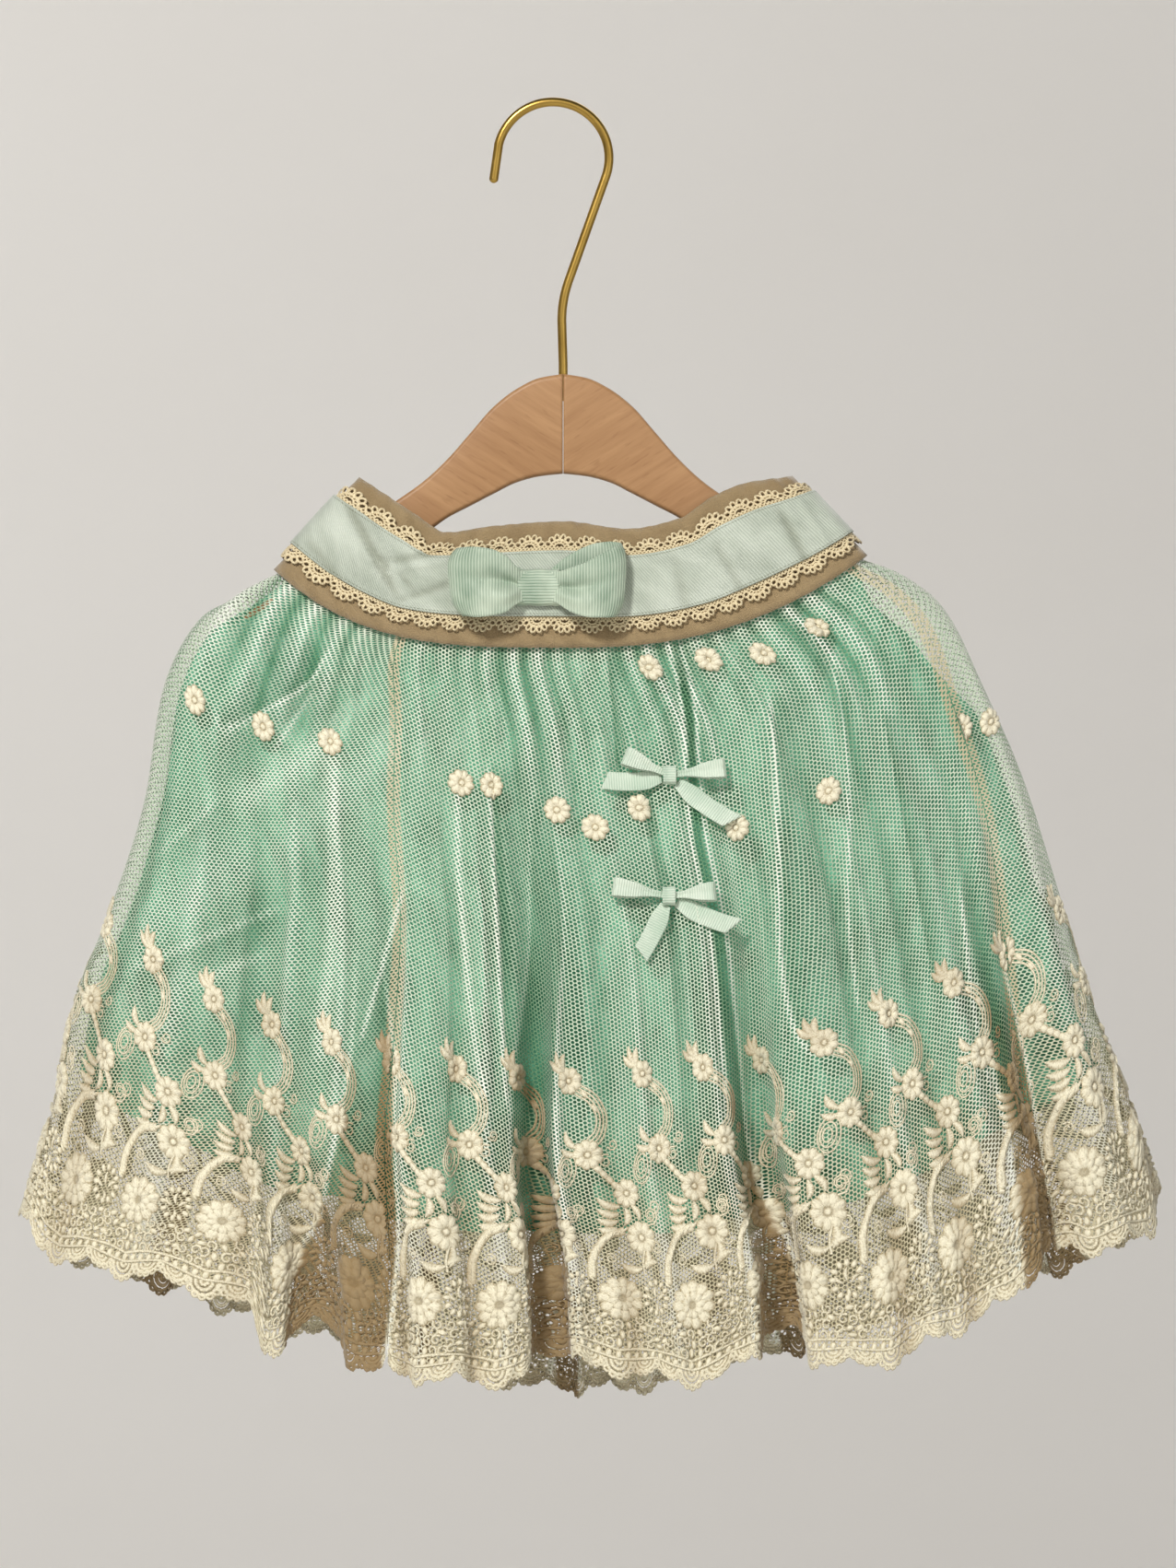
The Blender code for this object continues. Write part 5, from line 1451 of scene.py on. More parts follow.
def border_repeat(random):
    """One repeat of the hem's own flower and tendril border, 36 mm wide, heights above the hem."""
    drawn = Stitches()
    blossom(drawn, (0.0, 125.0), 6.2, 8)
    for angle, reach in ((122, 8.0), (152, 7.6), (92, 6.0)):
        drawn.leaf((-2.5, 129.0), 1.25 * reach, angle, 3.6, 1.0)
    drawn.lines(((4, 121.5), (10.5, 117.5), (14.6, 110.5), (14.0, 103), (10.5, 98.5)), 1.5, 4, 0.85)
    for x, y in ((7.0, 119.5), (11.5, 113.5)):
        drawn.blob((x, y), 2.2, 1.1, -0.9, 0.7)
    blossom(drawn, (9.0, 93.5), 6.7, 9)
    drawn.leaf((4.2, 96.5), 8.6, 128, 3.6, 1.0)
    drawn.leaf((4.0, 94.0), 7.6, 168, 3.4, 1.0)
    for size in (1.0, 0.7, 0.4):
        drawn.loop((-2.0 + 1.2 * size, 86.5), 4.6 * size, 7.6 * size, 0.75, -16, 14)
    drawn.curl((16.5, 91.0), 3.2, 1.3, 60, 0.85)
    for i in range(4):
        drawn.blob((13.0 + 2.4 * i, 87.5 - 2.4 * i), 2.5, 1.6, -0.8, 1.0)
    blossom(drawn, (25.5, 76.5), 6.7, 9)
    for i in range(4):
        drawn.leaf((21.5 - 0.9 * i, 71.0 - 3.3 * i), 11.0 - 0.9 * i, 160 + 9 * i, 3.9, 1.1)
    drawn.leaf((27.0, 71.0), 7.6, 300, 3.6, 1.1)
    drawn.leaf((24.0, 70.0), 8.0, 262, 3.6, 1.1)
    for side in (0.0, 1.0):
        path = smooth_path(((7.5 - side, 36), (8.2 - side, 46), (14, 56 + side), (22.5, 59.5 + side)), 6)
        drawn.stroke(path, 2.8, 1.2)
    for i in range(12):
        share = i / 11
        spot = path[int(share * (len(path) - 1))]
        drawn.blob(spot + (0.3, -0.4), 2.3, 0.8, 2.4 - 1.7 * share, 1.6)
    blossom(drawn, (30.5, 56.5), 7.8, 9)
    for size in (1.0, 0.62):
        drawn.curl((36.5, 66.5), 4.6 * size, 1.2, 250, 0.9)
    drawn.leaf((32.5, 51.0), 9.0, 262, 4.2, 1.3)
    drawn.leaf((29.5, 42.5), 10.5, 172, 4.2, 1.3)
    drawn.leaf((30.5, 43.0), 8.0, 20, 3.8, 1.2)
    drawn.stroke(smooth_path(((31.5, 51), (30.0, 45), (30.5, 40)), 4), 1.2, 0.8)
    blossom(drawn, (19.0, 27.5), 10.4, 11, True)
    for i in range(12):
        angle = TAU * i / 12
        spot = (36.0 + 5.6 * math.cos(angle), 30.0 + 6.6 * math.sin(angle))
        drawn.blob(spot, 1.7, 1.15, angle, 0.9)
    for x, y, reach, angle in (
        (36, 30, 5.0, 90), (34.5, 29, 4.4, 140), (37.5, 29, 4.4, 40), (36, 27, 3.6, 270),
    ):
        drawn.leaf((x, y), reach, angle, 1.7, 0.8)
    for x, y, radius, start, hand in (
        (3.0, 69.0, 3.2, 250, 1), (15.0, 46.0, 2.6, 120, -1),
        (2.0, 52.0, 3.0, 320, -1), (20.0, 98.0, 2.6, 200, 1),
    ):
        drawn.curl((x, y), radius, 1.35, start, 0.85, hand)
    large_flowers = ((19, 27.5, 11.0), (36, 30, 8.0), (0, 30, 8.0))
    for row in range(4):
        for col in range(9):
            x = 2.0 + 4.0 * col + (2.0 if row % 2 else 0) + random.uniform(-0.6, 0.6)
            y = 8.2 + 3.7 * row + random.uniform(-0.6, 0.6)
            if any(math.hypot(x - across, y - up) < reach for across, up, reach in large_flowers):
                continue
            if random.random() < 0.5:
                drawn.curl((x, y), 2.3, 1.0, random.uniform(0, 360), 1.3, 1, 1.2)
            else:
                drawn.blob((x, y), 2.0, 1.25, random.uniform(0, 3), 1.3)
    x = np.linspace(0, BORDER_REPEAT, 19)
    wave = 1.3 * np.abs(np.sin(x * math.pi / BORDER_REPEAT * 2))
    drawn.stroke(np.column_stack((x, 5.4 + wave)), 1.3, 0.9)
    drawn.stroke(np.column_stack((x, 2.1 + 0.5 * wave)), 1.4, 0.8)
    for i in range(9):
        drawn.blob((2.0 + 4.0 * i, 3.8), 1.9, 1.4, 1.3, 1.1)
    for middle, drop in ((6.0, 3.4), (18.0, 5.4), (30.0, 3.8)):
        turns = np.linspace(math.pi, TAU, 10)
        for size in (0.84, 0.52, 0.22):
            across = middle + 6.0 * size * np.cos(turns)
            drawn.stroke(np.column_stack((across, 1.6 + (drop + 1.6) * size * np.sin(turns))), 1.7, 0.8)
        for turn in np.radians((188, 217, 246, 274, 303, 332, 356)):
            spot = (middle + 5.7 * math.cos(turn), 0.6 + drop * math.sin(turn))
            drawn.loop(spot, 1.15, 1.15, 1.35, 0, 7, 0.9)
    return drawn.arrays()


def blossom(drawn, centre, radius, petals, doubled=False):
    """A padded flower with a small heart, and a second ring of petals when it is doubled."""
    drawn.flower(centre, radius, petals, 0.35, 1.3, 0.15)
    if doubled:
        drawn.flower(centre, radius * 0.62, petals - 2, 0.75, 1.2, 0.9)
    drawn.blob(centre, radius * 0.2, radius * 0.2, 0.0, 0.6, 0.4)


def build_border(panel, made, cotton):
    """The embroidered border round a net panel, from the same repeat with small changes."""
    repeats = NET_PANELS[panel]["repeats"]
    width = repeats * BORDER_REPEAT
    points, faces, heights = border_repeat(np.random.default_rng(11))
    upper = smoothstep(20, 60, points[:, 1])
    all_points, all_faces = [], []
    for number, repeat in enumerate(range(-1, repeats + 1)):
        phase = 1.7 * repeat
        moved = points.copy()
        moved[:, 1] *= 1 + 0.012 * math.sin(phase) * upper
        moved[:, 0] += repeat * BORDER_REPEAT + 0.9 * math.sin(phase * 1.3) * upper
        all_points.append(moved)
        all_faces.append(faces + len(points) * number)
    points, faces = np.concatenate(all_points), np.concatenate(all_faces)
    inside = (points[:, 0] > BORDER_INSET) & (points[:, 0] < width - BORDER_INSET)
    faces = faces[inside[faces].all(axis=1)]
    across, share = points[:, 0] / width, 1 - points[:, 1] / CLOTH_LENGTH
    # The stitches take the painted shade of the net beneath them.
    return stitched(
        f"net_{panel}_embroidery", made.at(across, share, points[:, 2]), points, faces,
        np.tile(heights, repeats + 2), cotton, "ivory_stitch", (), made.read(made.hollow, across, share),
    )


def stitched(name, laid, points, faces, heights, thread, slot, nodes=(), hollow=None):
    """A stitched piece from its laid points, without the points that no face uses."""
    used, faces = np.unique(faces, return_inverse=True)
    fields = {
        "cloth_mm": np.column_stack((points[used, 3:5], 0.1 * points[used, 0])),
        "height": heights[used],
        # Painted shade, from the cloth beneath when it is given.
        "hollow": np.zeros(len(used)) if hollow is None else hollow[used],
    }
    return placed(mesh_of(name, laid[used], faces.reshape(-1, 4), fields), thread, slot, *nodes)


def scattered_flower(turn):
    """One small flower of radiating satin stitch."""
    drawn = Stitches()
    drawn.flower((0.0, 0.0), FLOWER_RADIUS, 9, turn, 1.5, 0.3)
    drawn.blob((0.0, 0.0), 1.5, 1.5, 0.0, 0.7, 0.6)
    return drawn.arrays()


def build_flowers(name, cloth, spots, nodes, cotton, way):
    """Flowers laid on the cloth where it shows from the front, for way -1, or from the back, for 1."""
    along, _ = cloth.sizes()
    seen = way * cloth.outward[..., 1] > 0.1
    laid, flat, faces, heights = [], [], [], []
    for number, (across, drop) in enumerate(spots):
        away = np.hypot(cloth.points[..., 0] - across, cloth.points[..., 2] + drop)
        row, col = np.unravel_index(np.argmin(np.where(seen, away, np.inf)), away.shape)
        left, right = max(col - 4, 0), min(col + 4, len(cloth.across) - 1)
        per_mm = (cloth.across[right] - cloth.across[left]) / np.abs(along[row, right] - along[row, left])
        points, quads, raised = scattered_flower(0.5 + 0.9 * number)
        place = cloth.across[col] + points[:, 0] * per_mm
        share = cloth.down[row] - points[:, 1] / CLOTH_LENGTH
        laid.append(cloth.at(place, share, points[:, 2] + FLOWER_ON_NET))
        flat.append(points)
        faces.append(quads + number * len(points))
        heights.append(raised)
    parts = [np.concatenate(part) for part in (laid, flat, faces, heights)]
    return stitched(name, *parts, cotton, "ivory_stitch", nodes)


# ---------------------------------------------------------------------------- waistband


def band_cloth(shares, lift, columns, ruffle=0.0):
    """A strip of the waistband lifted off its ground, all round, with its creases."""
    ring = np.linspace(0, 2, columns)
    rows = []
    for share in shares:
        outward = outward_of(band_form, ring, share)
        points = band_form(ring, share)
        edge = ruffle * smoothstep(0.2, 0.0, min(share, 1 - share))
        dent = band_creases(points, ring) + edge * waves(ring, (1.0, 22, 0.0), (0.7, 35.5, 1.0))
        points[:, 2] += 0.35 * edge * waves(ring, (1.0, 29, 0.5))
        rows.append(points + outward * (lift - dent)[:, None])
    return Cloth(np.array(rows), ring, shares)


def band_creases(points, ring):
    """How far the waistband's creases push it inwards."""
    total = np.zeros(len(points))
    rear = np.mod(ring, 2) > 1
    for crease in named(BAND_CREASE_COLUMNS, BAND_CREASES):
        start = np.array((crease["across"], -crease["drop"]))
        run = np.array((crease["end_across"], -crease["end_drop"])) - start
        reach = np.linalg.norm(run)
        away = points[:, (0, 2)] - start
        along = away @ run / reach
        aside = away @ np.array((-run[1], run[0])) / reach
        fade = swell(-0.2 * reach, 0.25 * reach, 0.75 * reach, 1.2 * reach, along)
        total += crease["depth"] * bell(aside, crease["half"]) * fade * (rear == crease["rear"])
    return total


def build_waistband(velvet, grosgrain, lace):
    """The velvet ground, the grosgrain over it and the two picot trims that its edges hold."""
    base = band_cloth(np.linspace(0.0, 1.0, 19), BASE_WALL, 501, 0.25)
    ground = thickened(cloth_mesh("waistband_velvet", base), BASE_WALL, -1)
    placed(ground, velvet, "beige_velvet", "waistband_base")
    lace_lift = STRIP_GAP + LACE_WALL
    ribbon_lift = BASE_WALL + lace_lift + STRIP_GAP + RIBBON_WALL
    shares = np.concatenate((
        [0.235, 0.247, SEWN_SHARES[0], 0.261], np.linspace(0.275, 0.715, 17),
        [0.729, SEWN_SHARES[1], 0.743, 0.755],
    ))
    cloth = band_cloth(shares, ribbon_lift, 701)
    stitches = 0.5 + waves(cloth.across, (0.5, 150, 0.0))
    creased = np.array([band_creases(row, cloth.across) for row in cloth.points])
    # The sewn lines take the seam colour, and shade is painted into the creases.
    fields = {
        "sewn": np.isin(shares, SEWN_SHARES)[:, None] * stitches[None, :],
        "hollow": np.clip(creased / 1.3, 0, 1),
    }
    ribbon = thickened(cloth_mesh("waistband_grosgrain", cloth, fields), RIBBON_WALL, -1)
    placed(ribbon, grosgrain, "pale_grosgrain", "waistband_ribbon")
    build_picot("picot_lace_top", base, lace_lift, TOP_FANS, 0.262, 0.122, lace)
    build_picot("picot_lace_bottom", base, lace_lift, BOTTOM_FANS, 0.728, 0.868, lace)
    return ground, ribbon


def build_picot(name, base, lift, fans, header, tips, lace):
    """A trim of low arches edged with small round loops, along a twisted header."""
    drawn = Stitches()
    x = np.linspace(0, FAN_PITCH, 17)
    for phase in (0.0, math.pi):
        drawn.stroke(np.column_stack((x, 1.9 + 0.7 * np.sin(x * TAU / 3.0 + phase))), 0.85, 0.6)
    drawn.stroke(np.column_stack((x, np.full(len(x), 0.5))), 1.1, 0.5, 0.0)
    middle = np.array((FAN_PITCH / 2, 2.6))
    oval = np.array((1.25, 0.85))
    turn = np.linspace(math.radians(4), math.radians(176), 13)
    for reach, width in ((2.9, 1.1), (1.6, 0.8)):
        drawn.stroke(np.column_stack((np.cos(turn), np.sin(turn))) * oval * reach + middle, width, 0.6)
    for i in range(6):
        degrees = 18 + 144 * i / 5
        ray = oval * (math.cos(math.radians(degrees)), math.sin(math.radians(degrees)))
        drawn.loop(middle + ray * 3.9, 1.25, 0.95, 0.9, degrees, 10, 0.7, 0.2)
        drawn.stroke((middle + ray * 1.4, middle + ray * 3.0), 0.6, 0.5, 0.15)
    points, faces, heights = drawn.arrays()
    flat = np.concatenate([points + (fan * FAN_PITCH, 0, 0, 0, 0) for fan in range(fans)])
    faces = np.concatenate([faces + fan * len(points) for fan in range(fans)])
    if tips > header:
        faces = faces[:, ::-1]
    place = np.mod(flat[:, 0] / FAN_PITCH * 2 / fans, 2)
    share = header + (tips - header) * flat[:, 1] / FAN_HEIGHT
    laid = base.at(place, share, flat[:, 2] + lift)
    return stitched(f"{name}_loops", laid, flat, faces, np.tile(heights, fans), lace, "cream_lace", (name,))


# ---------------------------------------------------------------------------- bows


class Frame:
    """A flat place on the cloth: its origin, its right, its up and its outward direction."""

    def __init__(self, origin, right, up):
        self.origin = np.asarray(origin, float)
        self.right = unit(np.asarray(right, float))
        self.out = unit(np.cross(self.right, up))
        self.up = np.cross(self.out, self.right)

    def at(self, points):
        return self.origin + np.asarray(points, float) @ np.stack((self.right, self.up, self.out))


def ribbon_piece(node, frame, path, half_widths, cross, wall, grosgrain, folds=(), cut=0.0):
    """A fine ribbon along a path of local points, with folds along it and slanted at its end."""
    smooth = smooth_path(np.column_stack((path, half_widths)), 6)
    runs = np.linspace(0, 1, len(smooth))
    tangents = unit(np.gradient(smooth[:, :3], axis=0))
    spread = np.linspace(-1, 1, RIBBON_CUTS)
    rows, flat = [], []
    for run, place, length, tangent in zip(runs, smooth, run_lengths(smooth[:, :3]), tangents):
        lift = np.zeros(RIBBON_CUTS)
        for centre, half, depth, start, end in folds:
            lift += depth * bell(spread - centre, half) * swell(start - 0.12, start, end, end + 0.12, run)
        slant = cut * spread * smoothstep(0.55, 1.0, run)
        aside = spread * place[3]
        raised = unit(np.cross(cross, tangent)) * lift[:, None]
        rows.append(frame.at(place[:3] + aside[:, None] * cross + raised + tangent * slant[:, None]))
        flat.append(np.column_stack((length + slant, aside, np.zeros(RIBBON_CUTS))))
    faces = grid_faces(len(smooth), RIBBON_CUTS)
    piece = mesh_of(f"{node}_ribbon", np.concatenate(rows), faces, {"cloth_mm": np.concatenate(flat)})
    return placed(thickened(piece, wall * RIBBON_WALL_SHARE, 0), grosgrain, "pale_grosgrain", node)


def loop_outline(length, height, pinch):
    """A bow's loop seen edge on, as runs out and lifts: along its back, round, and home in front."""
    radius = height / 2
    outline = [(length * run, 0.0) for run in (0.0, 0.3, 0.6)]
    for i in range(5):
        turn = math.pi * (i / 4 - 0.5)
        outline.append((length - radius + radius * math.cos(turn), radius + radius * math.sin(turn)))
    for run in (0.6, 0.3, 0.0):
        swell = float(smoothstep(0.15, 0.9, run))
        outline.append((length * run, pinch + (height - pinch) * swell))
    return outline


def build_loop(name, frame, reach, rise, size, grosgrain):
    """A small bow's loop, out from the knot and back to it."""
    length = math.hypot(reach, rise)
    along = (reach / length, rise / length)
    path, halves = [], []
    for out, height in loop_outline(length - LOOP_START, size["height"], size["pinch_lift"]):
        run = LOOP_START + out
        path.append((along[0] * run, along[1] * run, SMALL_BOW_LOOP_LIFT + height))
        full = float(smoothstep(size["flare_start"], 0.85, run / length))
        halves.append((size["pinch"] + (size["width"] - size["pinch"]) * full) / 2)
    cross = np.array((-along[1], along[0], 0.0))
    ribbon_piece(name, frame, path, halves, cross, size["wall"], grosgrain, SMALL_LOOP_FOLDS)


def build_knot(name, frame, size, grosgrain, folds):
    """A bow's knot, as an arch of ribbon over the loops' inner ends."""
    half = size["knot_height"] / 2
    rise = size["knot_lift"] - size["knot_foot"]
    path = []
    for i in range(9):
        turn = math.pi * i / 8
        path.append((0.0, -half * math.cos(turn), size["knot_foot"] + rise * math.sin(turn) ** 0.6))
    halves = [size["knot_width"] / 2] * len(path)
    ribbon_piece(name, frame, path, halves, np.array((-1, 0, 0)), size["wall"], grosgrain, folds)


def build_belt_loop(name, frame, sign, rows, grosgrain):
    """A broad loop from behind the knot, round its open end and home over the front."""
    smooth = smooth_path(rows, 6)
    lengths = run_lengths(smooth[:, (0, 3)])
    spread = np.linspace(-1, 1, BELT_LOOP_CUTS)
    points, flat = [], []
    for length, (run, centre, half, lift, round_end, crease) in zip(lengths, smooth):
        x = run - round_end * np.abs(spread) ** 4 + 0.3 * round_end * spread
        dent = crease * (bell(spread - 0.12, 0.2) - 0.5 * bell(spread + 0.45, 0.25))
        curl = 0.5 * (1 - np.abs(spread) ** 3) * min(1.0, run / 20)
        points.append(frame.at(np.column_stack((sign * x, centre + half * spread, lift + curl - dent))))
        flat.append(np.column_stack((np.full(len(spread), length), half * spread, 0 * spread)))
    faces = grid_faces(len(smooth), BELT_LOOP_CUTS)
    piece = mesh_of(f"{name}_ribbon", np.concatenate(points), faces, {"cloth_mm": np.concatenate(flat)})
    placed(thickened(piece, BELT_LOOP_WALL, 0), grosgrain, "pale_grosgrain", name)


def build_belt_bow(grosgrain):
    """The flat bow that stands on the waistband's ribbon."""
    place = np.array([BELT_BOW_PLACE])
    centre = band_form(place, BELT_BOW_DROP_SHARE)[0]
    right = band_form(place + 0.02, BELT_BOW_DROP_SHARE)[0] - centre
    right[2] = 0
    frame = Frame(centre, right, band_form(place, BELT_BOW_DROP_SHARE - 0.2)[0] - centre)
    frame.origin = frame.origin + frame.out * BELT_BOW_STAND
    for side, sign in (("left", -1), ("right", 1)):
        build_belt_loop(f"belt_bow_loop_{side}", frame, sign, BELT_LOOPS[side], grosgrain)
    build_knot("belt_bow_knot", frame, BELT_BOW, grosgrain, BELT_KNOT_FOLDS)


def build_small_bow(name, plan, front_outer, grosgrain):
    """A small bow on the front net: two loops, two hanging tails and a knot."""
    frame = front_frame(front_outer, plan["across"], plan["drop"])
    pinch, full = SMALL_BOW["pinch"] / 2, SMALL_BOW["width"] / 2
    runs = np.linspace(TAIL_START, 1, 5)
    for side in ("left", "right"):
        build_loop(f"{name}_loop_{side}", frame, *plan[f"loop_{side}"], SMALL_BOW, grosgrain)
        reach, rise = plan[f"tail_{side}"]
        cross = np.array((-rise, reach, 0.0)) / math.hypot(reach, rise)
        path = [(reach * run, rise * run - TAIL_SAG * run * (1 - run) * 4, 0.0) for run in runs]
        halves = [pinch + (full - pinch) * min(1.0, run * 3) for run in runs]
        ribbon_piece(
            f"{name}_tail_{side}", frame, path, halves, cross, SMALL_BOW["wall"], grosgrain, cut=TAIL_CUT)
    build_knot(f"{name}_knot", frame, SMALL_BOW, grosgrain, SMALL_KNOT_FOLDS)


def plain_net_outer(panel):
    """The net solid's outer side, as coarse as the solid's own columns and rows."""
    plan = NET_PANELS[panel]
    even = np.linspace(0, 1, plan["columns"] + 1)
    place = net_place(panel, even, 0.0)
    shift = -NET_CROWDING / TAU * np.sin(TAU * place)
    shift -= shift[0] + (shift[-1] - shift[0]) * even
    cloth = even + shift / (place[-1] - place[0])
    swell = 0.5 + 0.5 * np.cos(TAU * plan["repeats"] * cloth)
    outer = []
    for share in NET_SHARES:
        raised = BORDER_RAISE * swell if share >= BORDER_TOP else np.zeros_like(cloth)
        outer.append(net_point(panel, cloth, share, NET_WALL + raised))
    return np.array(outer)


def front_frame(outer, across, drop):
    """A frame on the front net whose back plane clears every net point near it."""
    rise = outer[..., 2] + drop
    near = np.abs(outer[..., 0] - across) < BOW_REACH["across"]
    near &= (rise < BOW_REACH["above"]) & (rise > -BOW_REACH["below"])
    depth = (outer[..., 1] - BOW_LEAN * rise)[near].min()
    stand = depth - SEAM_GAP - SMALL_BOW["wall"] / 2
    return Frame((across, stand, -drop), (1, 0, 0), (0, BOW_LEAN, 1))


# ---------------------------------------------------------------------------- hanger


def build_board(name, side, wood):
    """Half of the hanger as rings of rounded section, flat at the glued joint and rounded at its tip."""
    corner = np.linspace(0, math.pi / 2, 7)
    rings = []
    for out in np.concatenate((np.linspace(SEAM_GAP / 2, 136.0, 110), np.linspace(136.5, BOARD[-1][0], 12))):
        top, bottom = -float(BOARD_EDGE["top"](out)), -float(BOARD_EDGE["bottom"](out))
        tip = max(0.0, out - BOARD[-1][0] + TIP_ROUND) / TIP_ROUND
        half = HANGER_THICKNESS / 2 * (0.45 + 0.55 * math.sqrt(max(0.0, 1 - tip ** 2)))
        radius = min(HANGER_EDGE_ROUND, half, (top - bottom) / 2.2)
        for y_sign, edge, z_sign, turn in (
            (1, top, 1, corner), (-1, top, 1, corner[::-1]),
            (-1, bottom, -1, corner), (1, bottom, -1, corner[::-1]),
        ):
            y = y_sign * (half - radius + radius * np.cos(turn))
            z = edge - z_sign * (radius - radius * np.sin(turn))
            rings.append(np.column_stack((np.full(len(turn), HANGER_JOINT + side * out), y, z)))
    points = np.concatenate(rings)
    count = 4 * len(corner)
    faces = grid_faces(len(points) // count, count, closed=True).tolist()
    caps = [range(count), range(len(points) - count, len(points))]
    piece = mesh_of(f"{name}_board", points, faces + caps)
    builder = bmesh.new()
    builder.from_mesh(piece.data)
    bmesh.ops.recalc_face_normals(builder, faces=builder.faces[:])
    builder.to_mesh(piece.data)
    builder.free()
    placed(piece, wood, "light_beech", name)


def hook_route():
    """The wire's middle line: tip, crown arc, leaning shank, bend and the upright end."""
    centre = Vector((0, WIRE / 2 - HOOK_RADIUS))
    tip, end = math.radians(HOOK_TIP_ANGLE), math.radians(HOOK_SHANK_ANGLE)
    arc = []
    for i in range(73):
        angle = tip + (end - tip) * i / 72
        arc.append(centre + HOOK_RADIUS * Vector((math.cos(angle), math.sin(angle))))
    tip_run = Vector((-0.14, -0.99)) * HOOK_TIP_RUN
    route = [arc[0] + tip_run * (1 - i / 12) for i in range(12)] + arc
    lean = Vector((math.sin(end), -math.cos(end)))
    corner = arc[-1] + lean * ((-SHANK_BEND_DROP - arc[-1].y) / lean.y)
    start = corner - lean * SHANK_BEND_RADIUS
    finish = corner + Vector((0, -SHANK_BEND_RADIUS))
    for i in range(13):
        route.append(start.lerp(corner, i / 12).lerp(corner.lerp(finish, i / 12), i / 12))
    board_top = -BOARD[0][1]
    for z in (board_top + 4.0, board_top - SHANK_SEAT_DEPTH + SEAM_GAP):
        route.append(Vector((HANGER_JOINT, z)))
    return route


def build_hook(brass):
    """The bent wire and its rounded tip."""
    curve = bpy.data.curves.new("hanger_hook_wire", "CURVE")
    curve.dimensions = "3D"
    curve.bevel_depth = WIRE / 2 * MM
    curve.bevel_resolution = 7
    curve.use_fill_caps = True
    route = hook_route()
    line = curve.splines.new("POLY")
    line.points.add(len(route) - 1)
    for point, place in zip(line.points, route):
        point.co = (place.x * MM, 0, place.y * MM, 1)
    placed(bpy.data.objects.new("hanger_hook_wire", curve), brass, "satin_brass", "hanger_hook")
    tip = (route[0].x * MM, 0, route[0].y * MM)
    bpy.ops.mesh.primitive_uv_sphere_add(segments=24, ring_count=16, radius=WIRE / 2 * MM, location=tip)
    ball = bpy.context.object
    ball.name = "hanger_hook_tip"
    ball.data.shade_smooth()
    ball.data.materials.append(brass)
    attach(ball, "root")


# ---------------------------------------------------------------------------- room


def build_stage():
    """A pale round floor that curves up into a wall, with soft lights from the upper left."""
    profile = [(0.01, STAGE_FLOOR)]
    for i in range(13):
        turn = math.pi / 2 * i / 12
        profile.append((STAGE_WALL - STAGE_ROUND + STAGE_ROUND * math.sin(turn),
                        STAGE_FLOOR + STAGE_ROUND - STAGE_ROUND * math.cos(turn)))
    profile.append((STAGE_WALL, STAGE_TOP))
    turns = np.linspace(0, TAU, 96, endpoint=False)
    points = [(reach * math.sin(turn), reach * math.cos(turn), z) for reach, z in profile for turn in turns]
    sweep = linked(mesh_of("studio_sweep", points, grid_faces(len(profile), len(turns), True)))
    made = Nodes("studio_paper", 0.95)
    cloudy = made.noise(made.object_place(), 1.5, 3.0)
    sweep.data.materials.append(made.finish(made.mix(cloudy, STAGE_DEEP, STAGE_LIGHT)))
    world = bpy.data.worlds.new("studio_air")
    bpy.context.scene.world = world
    world.use_nodes = True
    air = world.node_tree.nodes["Background"].inputs
    air["Color"].default_value = AIR_COLOUR
    air["Strength"].default_value = AIR_STRENGTH
    for name, place, aim, size, power, tint in LIGHTS:
        lamp = bpy.data.lights.new(name, "AREA")
        lamp.shape = "RECTANGLE"
        lamp.size, lamp.size_y = size
        lamp.energy = power
        lamp.color = tint
        lit = linked(bpy.data.objects.new(name, lamp))
        lit.location = place
        lit.rotation_euler = (Vector(aim) - Vector(place)).to_track_quat("-Z", "Y").to_euler()
        lit.visible_camera = False


def build_camera():
    lens = bpy.data.cameras.new("photo_camera")
    lens.lens = LENS
    lens.sensor_width = SENSOR_WIDTH
    lens.clip_end = SIGHT
    camera = linked(bpy.data.objects.new("photo_camera", lens))
    camera.location = (VIEW_CENTRE[0], -VIEW_DISTANCE, VIEW_CENTRE[1])
    camera.rotation_euler = (math.pi / 2, 0, 0)
    bpy.context.scene.camera = camera


# ---------------------------------------------------------------------------- the whole

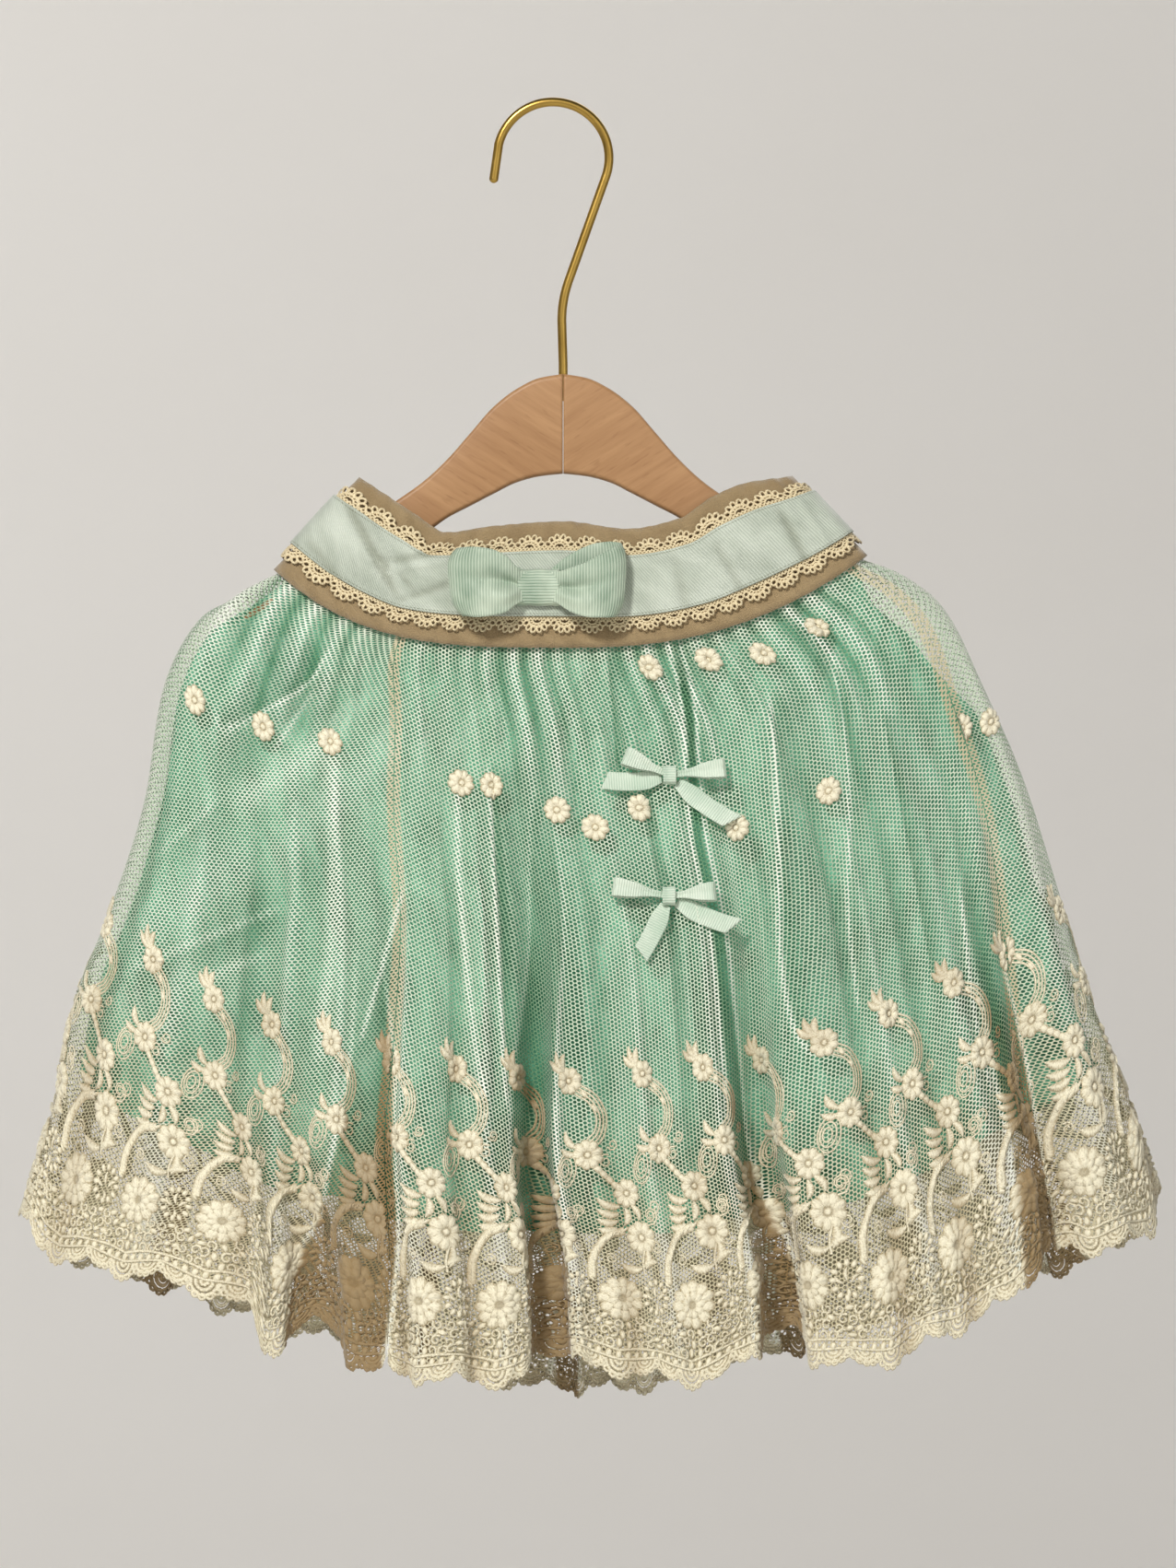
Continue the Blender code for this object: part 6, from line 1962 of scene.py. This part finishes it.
NET_WEAVE = net_material()
SATIN = satin_material()
COTTON = thread_material("ivory_stitch_cotton", STITCH_LIGHT, STITCH_DEEP)
LACE_COTTON = thread_material("cream_lace_cotton", LACE_LIGHT, LACE_DEEP)
GROSGRAIN = ribbon_material("pale_grosgrain_ribbon", RIBBON_LIGHT, RIBBON_DEEP, sewn=True)
BOW_GROSGRAIN = ribbon_material("pale_bow_ribbon", BOW_LIGHT, BOW_DEEP)
SMALL_GROSGRAIN = ribbon_material("pale_small_ribbon", SMALL_LIGHT, SMALL_DEEP, SMALL_RIB_PITCH)

build_board("hanger_wood_left", -1, wood_material("light_beech_left", -GRAIN_LEAN))
build_board("hanger_wood_right", 1, wood_material("light_beech_right", GRAIN_LEAN))
build_hook(brass_material())
SHEETS = {}
SHEETS["waistband_base"], SHEETS["waistband_ribbon"] = build_waistband(
    velvet_material(), GROSGRAIN, LACE_COTTON)
for lining in named(LINING_COLUMNS, LININGS):
    SHEETS[lining["name"]] = build_lining(**lining, satin=SATIN)
SHEETS["net_front"], FRONT_CLOTH = build_net("front", NET_WEAVE)
SHEETS["net_wrap"], WRAP_CLOTH = build_net("wrap", NET_WEAVE)
build_border("front", FRONT_CLOTH, COTTON)
build_border("wrap", WRAP_CLOTH, COTTON)
build_belt_bow(BOW_GROSGRAIN)
FRONT_OUTER = plain_net_outer("front")
for bow_name, bow_plan in SMALL_BOWS.items():
    build_small_bow(bow_name, bow_plan, FRONT_OUTER, SMALL_GROSGRAIN)

for suffix, cloth, on_front_panel in (("front", FRONT_CLOTH, True), ("wings", WRAP_CLOTH, False)):
    chosen = [
        (spot, f"flower_front_{number:02d}") for number, spot in enumerate(FRONT_FLOWERS, 1)
        if (FRONT_PANEL_LEFT < spot[0] < FRONT_PANEL_RIGHT) == on_front_panel
    ]
    spots, names = zip(*chosen)
    build_flowers(f"net_flowers_{suffix}", cloth, spots, names, COTTON, -1)
BACK_POINTS = skirt_form(np.array(BACK_FLOWER_PLACES), BACK_FLOWER_SHARE)
BACK_NAMES = [f"flower_back_{number:02d}" for number in range(1, len(BACK_POINTS) + 1)]
build_flowers("net_flowers_back", WRAP_CLOTH, BACK_POINTS[:, (0, 2)] * (1, -1), BACK_NAMES, COTTON, 1)

build_stage()
build_camera()
bpy.context.scene.view_settings.view_transform = "Standard"
